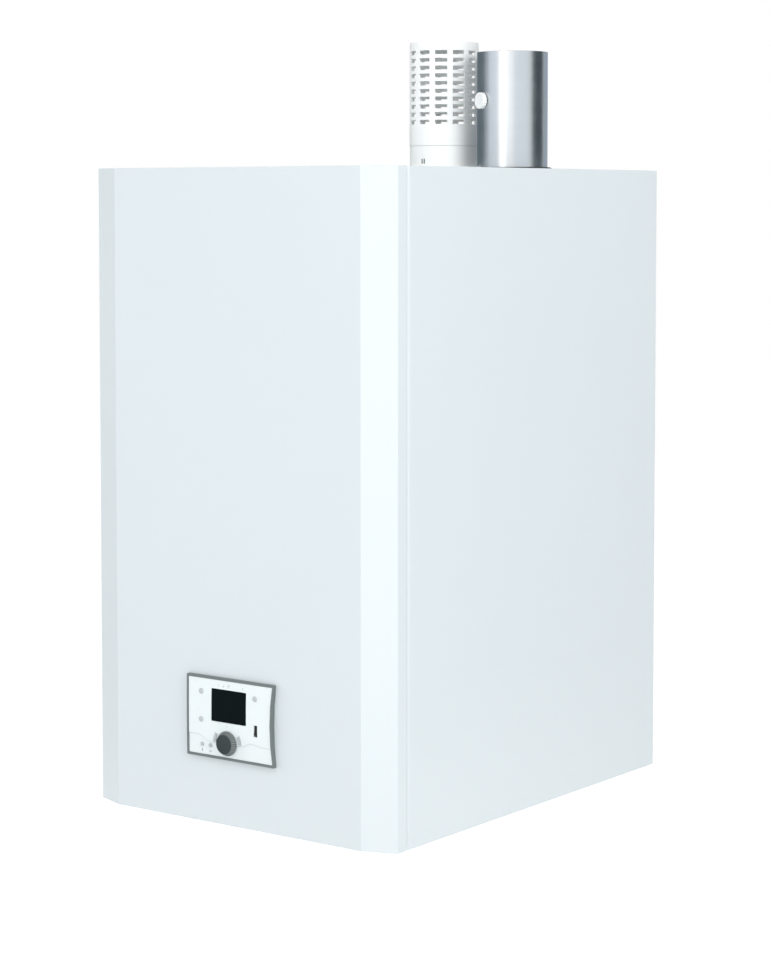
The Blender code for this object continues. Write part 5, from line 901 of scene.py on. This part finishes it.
# %% Turn the five buttons
RIM_DEPTH = 1.2 * MM
RIM_THICKNESS = 1 * MM
STEM_RADIUS = 1.4 * MM
DOME = 0.32


def axis_of(node):
    """A point of the axis along Y through the middle of a node."""
    centre = middle(node)
    return Vector((centre.x, 0, centre.z))


def round_button(node, radius):
    low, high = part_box(node)
    rim = (high.x - low.x) / 2
    rim_front = FACE_Y - RIM_DEPTH
    rim_back = rim_front + RIM_THICKNESS
    dome = [(radius * math.sin(a), low.y + radius * DOME * (1 - math.cos(a)))
            for a in (math.radians(d) for d in range(0, 91, 18))]
    profile = dome + [(radius, rim_front), (rim, rim_front), (rim, rim_back), (STEM_RADIUS, rim_back),
                      (STEM_RADIUS, high.y), (0, high.y)]
    settle(turned(profile, "Y", axis_of(node), 48), node, button_grey)


for node in ("button_upper_left", "button_lower_left", "button_right"):
    round_button(node, 3.6 * MM)
for node in ("button_small_left", "button_small_right"):
    round_button(node, 2.5 * MM)

# %% [markdown]
# ## The selector knob
# A near-black knob with a flared skirt, fine grip flutes up its side and a shallow dish in its face.
# The same tree that fluted the cap cuts its grip.

# %% Turn and flute the knob
FLUTES = 32
FLARE = 0.5 * MM
DISH = 0.6 * MM
KNOB_LOW, KNOB_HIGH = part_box("selector_knob")
KNOB_AXIS = axis_of("selector_knob")
knob_radius = (KNOB_HIGH.x - KNOB_LOW.x) / 2
knob_face = 13 * MM
face_y = KNOB_LOW.y
base_y = face_y + 7 * MM
skirt_y, edge_y = base_y - 1.4 * MM, face_y + 1 * MM
shaft_y = face_y + 3.5 * MM
grip = [(knob_radius + (knob_face + FLARE - knob_radius) * t, skirt_y + (edge_y - skirt_y) * t)
        for t in (0, 0.2, 0.4, 0.6, 0.8, 1)]
dish = [(knob_face * t, face_y + DISH * (1 - t**2) ** 1.5) for t in (0.96, 0.88, 0.75, 0.6, 0.4, 0.2)]
knob = turned([(0, base_y), (knob_radius, base_y)] + grip + [(knob_face, face_y)] + dish
              + [(0, face_y + DISH)], "Y", KNOB_AXIS, 192, 0.35 * MM)
flute(knob, KNOB_AXIS, FLUTES, 0.9 * MM, edge_y - 0.2 * MM, skirt_y + 0.4 * MM, 0.9 * knob_face)
shaft = turned_ring(0, 3 * MM, shaft_y, KNOB_HIGH.y, "Y", KNOB_AXIS, 48, 0.3 * MM)
combined(knob, shaft, "UNION")
settle(knob, "selector_knob", knob_plastic)

# %% Painted light on the knob: a painted sheen makes the grip lighter than the face, and painted highlights make the ribs lighter than the flutes
GRIP_PAINTED_SHEEN = (0.07, 0.08, 0.081)
RIB_PAINTED_HIGHLIGHT = (0.21, 0.23, 0.232)
face_edge = knob_face / MM
knob_nodes = Nodes(knob_plastic.node_tree)
from_axis = distance(knob_nodes, (PER_MM, 0, PER_MM), KNOB_AXIS)
on_grip = spread(knob_nodes, from_axis, 0.0, 1.0, face_edge - 0.4, face_edge + 0.4)
# Painted sheen: the grip is coloured lighter than the face, as where light catches the side.
tinted(knob_plastic, on_grip, GRIP_PAINTED_SHEEN)
across, _, upward = knob_nodes.split(placed(knob_nodes, (1, 1, 1), KNOB_AXIS))
wave = knob_nodes.maths("COSINE", knob_nodes.maths("ARCTAN2", upward, across) * FLUTES)
# Painted highlight on the ribs. The flutes keep the darker grip tone as painted shade.
tinted(knob_plastic, on_grip * spread(knob_nodes, wave, 0.0, 1.0, -0.4, 0.4), RIB_PAINTED_HIGHLIGHT)
print("grip tinted")

# %% [markdown]
# ## Pipes, trap, vent and gland
# The pipes are copper, bent with smooth radii, so each is a round profile swept along its centre
# line by Geometry Nodes. Their union nuts are brass-coloured on a real boiler, but here they belong
# to the pipe's solid and share its body.

# %% A tree that sweeps a tube with a wall along a path
tubing = Tree("tube along a path", ("Radius", "Bore", "Sides"), ("Sides",))
give = tubing.given
path_curve = tubing.node("GeometryNodeMeshToCurve", give["Geometry"])


def swept_skin(radius):
    ring = tubing.node("GeometryNodeCurvePrimitiveCircle", Resolution=give["Sides"], Radius=radius)
    return tubing.node("GeometryNodeCurveToMesh", path_curve, ring)


inside_skin = tubing.node("GeometryNodeFlipFaces", swept_skin(give["Bore"]))
tubing.end(tubing.joined(swept_skin(give["Radius"]), inside_skin), copper)


# %% Paths with round bends
def rounded_path(corners, bend, steps=10):
    """The points of a path whose corners are arcs of one radius."""
    points = [Vector(corners[0])]
    for before, corner, after in zip(corners, corners[1:], corners[2:]):
        corner = Vector(corner)
        back, on = (Vector(before) - corner).normalized(), (Vector(after) - corner).normalized()
        half = back.angle(on) / 2
        centre = corner + (back + on).normalized() * bend / math.sin(half)
        start = corner + back * bend / math.tan(half) - centre
        end = corner + on * bend / math.tan(half) - centre
        sweep = math.pi - 2 * half
        for k in range(steps + 1):
            part = k / steps
            mix = start * math.sin((1 - part) * sweep) + end * math.sin(part * sweep)
            points.append(centre + mix / math.sin(sweep))
    return points + [Vector(corners[-1])]


def path_object(points):
    data = bpy.data.meshes.new("path")
    data.from_pydata(points, [(i, i + 1) for i in range(len(points) - 1)], [])
    return object_of(data, "path")


def bridge_ends(piece, foot, radius):
    """Joins the inner and outer skins with a flat ring at the foot and another at the far end."""
    mesh = bmesh.new()
    mesh.from_mesh(piece.data)
    rim = [edge for edge in mesh.edges if len(edge.link_faces) == 1]
    at_foot = [edge for edge in rim if (edge.verts[0].co - foot).length < 2 * radius]
    bmesh.ops.bridge_loops(mesh, edges=at_foot)
    bmesh.ops.bridge_loops(mesh, edges=[edge for edge in rim if edge not in at_foot])
    bmesh.ops.recalc_face_normals(mesh, faces=mesh.faces[:])
    mesh.to_mesh(piece.data)
    mesh.free()


print("paths ready")

# %% Sweep the water and gas pipes
PIPE_WALL = 1.5 * MM
NUT_RIM = 6 * MM
NUT_FROM, NUT_TO = 10 * MM, 28 * MM


def pipe(node, corners, radius, bend):
    tube = grown(tubing, path_object(rounded_path(corners, bend)),
                 {"Radius": radius, "Bore": radius - PIPE_WALL, "Sides": 48})
    foot = Vector(corners[-1])
    bridge_ends(tube, foot, radius)
    low, high = foot.z + NUT_FROM, foot.z + NUT_TO
    under = Vector((foot.x, foot.y, 0))
    nut = turned_ring(0, radius + NUT_RIM, low, high, "Z", under, 6)
    combined(nut, turned_ring(0, radius - PIPE_WALL / 2, low - MM, high + MM, "Z", under, 48))
    combined(tube, nut, "UNION")
    settle(tube, node, copper, 0.4 * MM, 2, 40)


WATER_RADIUS = 17.5 * MM
WATER_X = -205 * MM
GAS_RADIUS = 11 * MM
GAS_Y = -575 * MM
GAS_FOOT = (85 * MM, -505 * MM)
GAS_BENDS = (75 * MM, 187 * MM)
flow_low, flow_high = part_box("flow_pipe")
for node, y in (("flow_pipe", -300 * MM), ("return_pipe", -190 * MM)):
    top_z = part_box(node)[1].z - WATER_RADIUS
    pipe(node, [(flow_high.x, y, top_z), (WATER_X, y, top_z), (WATER_X, y, flow_low.z)],
         WATER_RADIUS, 26 * MM)
gas_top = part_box("gas_pipe")[1].z
valve_x = middle("gas_valve").x - 2.5 * MM
pipe("gas_pipe", [(valve_x, GAS_Y, gas_top), (valve_x, GAS_Y, gas_top - GAS_BENDS[0]),
                  (*GAS_FOOT, gas_top - GAS_BENDS[1]), (*GAS_FOOT, flow_low.z)], GAS_RADIUS, 25 * MM)

# %% Trap, vent, gland and clips
refined(white_plastic, 0.8 * MM, "condensate_trap")
refined(brass, 0.6 * MM, "air_vent")
refined(black_plastic, 0.5 * MM, "cable_gland")
refined(black_plastic, 0.2 * MM, "cover_clip_upper_left", "cover_clip_upper_right",
        "cover_clip_lower_left", "cover_clip_lower_right")

# %% [markdown]
# ## Floor and background
# The boiler hangs on a wall in use, so the floor lies well below it. The photograph's background is
# white. Lighting the floor until it clips would wash out the white casing too, so the floor keeps a
# plain light and only rays from the camera, or off metal and through glass, see it a step brighter.
# The world does the same with a shader mix on those rays. The floor still darkens in shadow.


# %% Which rays see the white background
def background_rays(nodes):
    """1 for rays that see the background: from the camera, off a glossy surface or through glass."""
    ray = nodes.node("ShaderNodeLightPath").outputs
    reflected = nodes.maths("MAXIMUM", ray["Is Glossy Ray"], ray["Is Transmission Ray"])
    return nodes.maths("MAXIMUM", ray["Is Camera Ray"], reflected)


print("background rays ready")


# %% Floor
FLOOR_Z = -1.75
FLOOR_REACH = 12
FLOOR_LIFT = 0.47
SQUARE = ((-1, -1), (1, -1), (1, 1), (-1, 1))
floor_mesh = bpy.data.meshes.new("floor")
floor_mesh.from_pydata([(FLOOR_REACH * x, FLOOR_REACH * y, FLOOR_Z) for x, y in SQUARE], [], [(0, 1, 2, 3)])
floor = object_of(floor_mesh, "floor")
floor_paint = finish("floor_paint", (0.86, 0.86, 0.86), 0.9, shift=0.01, cloud=2, grain=60, depth=0)
dressed(floor_paint, Emission_Color=(1, 1, 1, 1),
        Emission_Strength=background_rays(Nodes(floor_paint.node_tree)) * FLOOR_LIFT)
floor.data.materials.append(floor_paint)
print("floor at", FLOOR_Z, "m")

# %% World: white where it is seen, plainer as light
WORLD_LIGHT = 0.635
world = bpy.data.worlds.new("studio")
bpy.context.scene.world = world
world.use_nodes = True
sky = Nodes(world.node_tree)
shown = sky.fill(world.node_tree.nodes["Background"], Color=(1, 1, 1, 1), Strength=1.0)
lighting = sky.node("ShaderNodeBackground", Color=(0.96, 0.98, 1.0, 1), Strength=WORLD_LIGHT)
either = sky.node("ShaderNodeMixShader", background_rays(sky), lighting, shown)
sky.fill(world.node_tree.nodes["World Output"], either)
print("world ready")

# %% [markdown]
# ## Lamps and cards
# Four soft boxes light the boiler plainly: a narrow one ahead, whose reflection makes the bevel at
# the cover's edge shine, a broad one on each side and one above. Polished steel shows nothing of its
# own but what stands round it, so a photographer stands cards in the studio to draw bands on it.
# Seven cards here are upright arcs round the boiler. One more, between the terminal and the flue,
# is a painted reflection of shade: a dark sheet where the steel mirrors the terminal's shaded side.
# Only reflections see them: they don't light or shade.

# %% Soft boxes
STUDIO_MIDDLE = Vector((0, -0.35, -0.35))


def toward(azimuth, reach, height=0.0):
    """A place in the studio, at an azimuth in degrees from the front."""
    turn = math.radians(azimuth)
    return STUDIO_MIDDLE + Vector((math.sin(turn) * reach, -math.cos(turn) * reach, height))


def soft_box(name, azimuth, reach, height, size, power, reflected=False):
    """An area lamp turned to the studio's middle."""
    lamp = bpy.data.lights.new(name, "AREA")
    lamp.shape = "RECTANGLE"
    lamp.size, lamp.size_y = size
    lamp.energy = power
    made = object_of(lamp, name)
    made.location = toward(azimuth, reach, height)
    made.rotation_euler = (STUDIO_MIDDLE - made.location).to_track_quat("-Z", "Y").to_euler()
    made.visible_glossy = reflected


soft_box("front_box", 5, 3.2, 0.45, (0.7, 3.0), 14.5, reflected=True)
soft_box("right_fill", 72, 3.6, 1.0, (1.6, 2.2), 60)
soft_box("top_box", 30, 2.2, 2.6, (1.6, 1.6), 19)
soft_box("left_fill", -70, 3.6, 0.4, (1.6, 2.2), 37)
print("lamps ready")

# %% Cards that only reflections see
CARD_DISTANCE = 4.4
CARD_LOW, CARD_HIGH = -1.7, 2.6
DEGREES_A_FACE = 4


def stand_card(name, line, low, high, colour, strength=1.0):
    """An upright strip over a line of (x, y) points, which only reflections see."""
    mesh = bpy.data.meshes.new(name)
    corners = [(x, y, z) for x, y in line for z in (low, high)]
    mesh.from_pydata(corners, [], [(k, k + 2, k + 3, k + 1) for k in range(0, 2 * len(line) - 2, 2)])
    made = object_of(mesh, name)
    material = new_material(name)
    dressed(material, Base_Color=(0, 0, 0, 1), Specular_IOR_Level=0, Emission_Color=(*colour, 1),
            Emission_Strength=strength)
    mesh.materials.append(material)
    made.visible_camera = made.visible_diffuse = made.visible_transmission = False
    made.visible_shadow = made.visible_volume_scatter = False


def card(name, start, end, colour, strength=1.0):
    """An upright arc round the studio's middle, between two azimuths."""
    steps = max(2, round((end - start) / DEGREES_A_FACE))
    arc = [toward(start + (end - start) * k / steps, CARD_DISTANCE).xy for k in range(steps + 1)]
    stand_card(name, arc, CARD_LOW, CARD_HIGH, colour, strength)


card("card_bright", -9, 40, (1.0, 1.0, 1.0), 1.5)
card("card_left", -52, -17, (0.84, 0.90, 0.96), 1.17)
card("card_shade_left", -76, -52, (0.42, 0.46, 0.50))
card("card_far_left", -142, -78, (0.10, 0.115, 0.125))
card("card_right", 41, 92, (0.90, 0.96, 1.0), 1.15)
card("card_dark", 102, 152, (0.045, 0.070, 0.080))
card("card_behind", 157, 212, (0.44, 0.52, 0.60))
# Painted reflection of shade: a dark card where the flue's steel would mirror the terminal's shaded side.
between = (AIR_AXIS.x + FLUE_AXIS.x) / 2
stand_card("card_between", [(between, AIR_AXIS.y - 64 * MM), (between, AIR_AXIS.y + 90 * MM)],
           CASING_TOP + 6 * MM, GRILLE_HIGH.z, (0.16, 0.20, 0.225))
print("eight cards")

# %% [markdown]
# ## Camera
# The photograph was taken from the right, about level with the casing's top, and its upright edges
# are nearly upright. A long lens, a small downward tilt and a little shift give that framing.

# %% Camera
LENS = 92.112
SHIFT = -0.1289
TILT_DOWN = 3.583
TURN_RIGHT = 36.627
camera_data = bpy.data.cameras.new("camera")
camera_data.lens = LENS
camera_data.sensor_width = 36
camera_data.shift_y = SHIFT
camera = object_of(camera_data, "camera")
camera.location = (2.0901, -3.1303, 0.0311)
camera.rotation_euler = (math.radians(90 - TILT_DOWN), 0, math.radians(TURN_RIGHT))
bpy.context.scene.camera = camera
bpy.context.scene.view_settings.view_transform = "Standard"
print("camera turned", TURN_RIGHT, "degrees from the front")
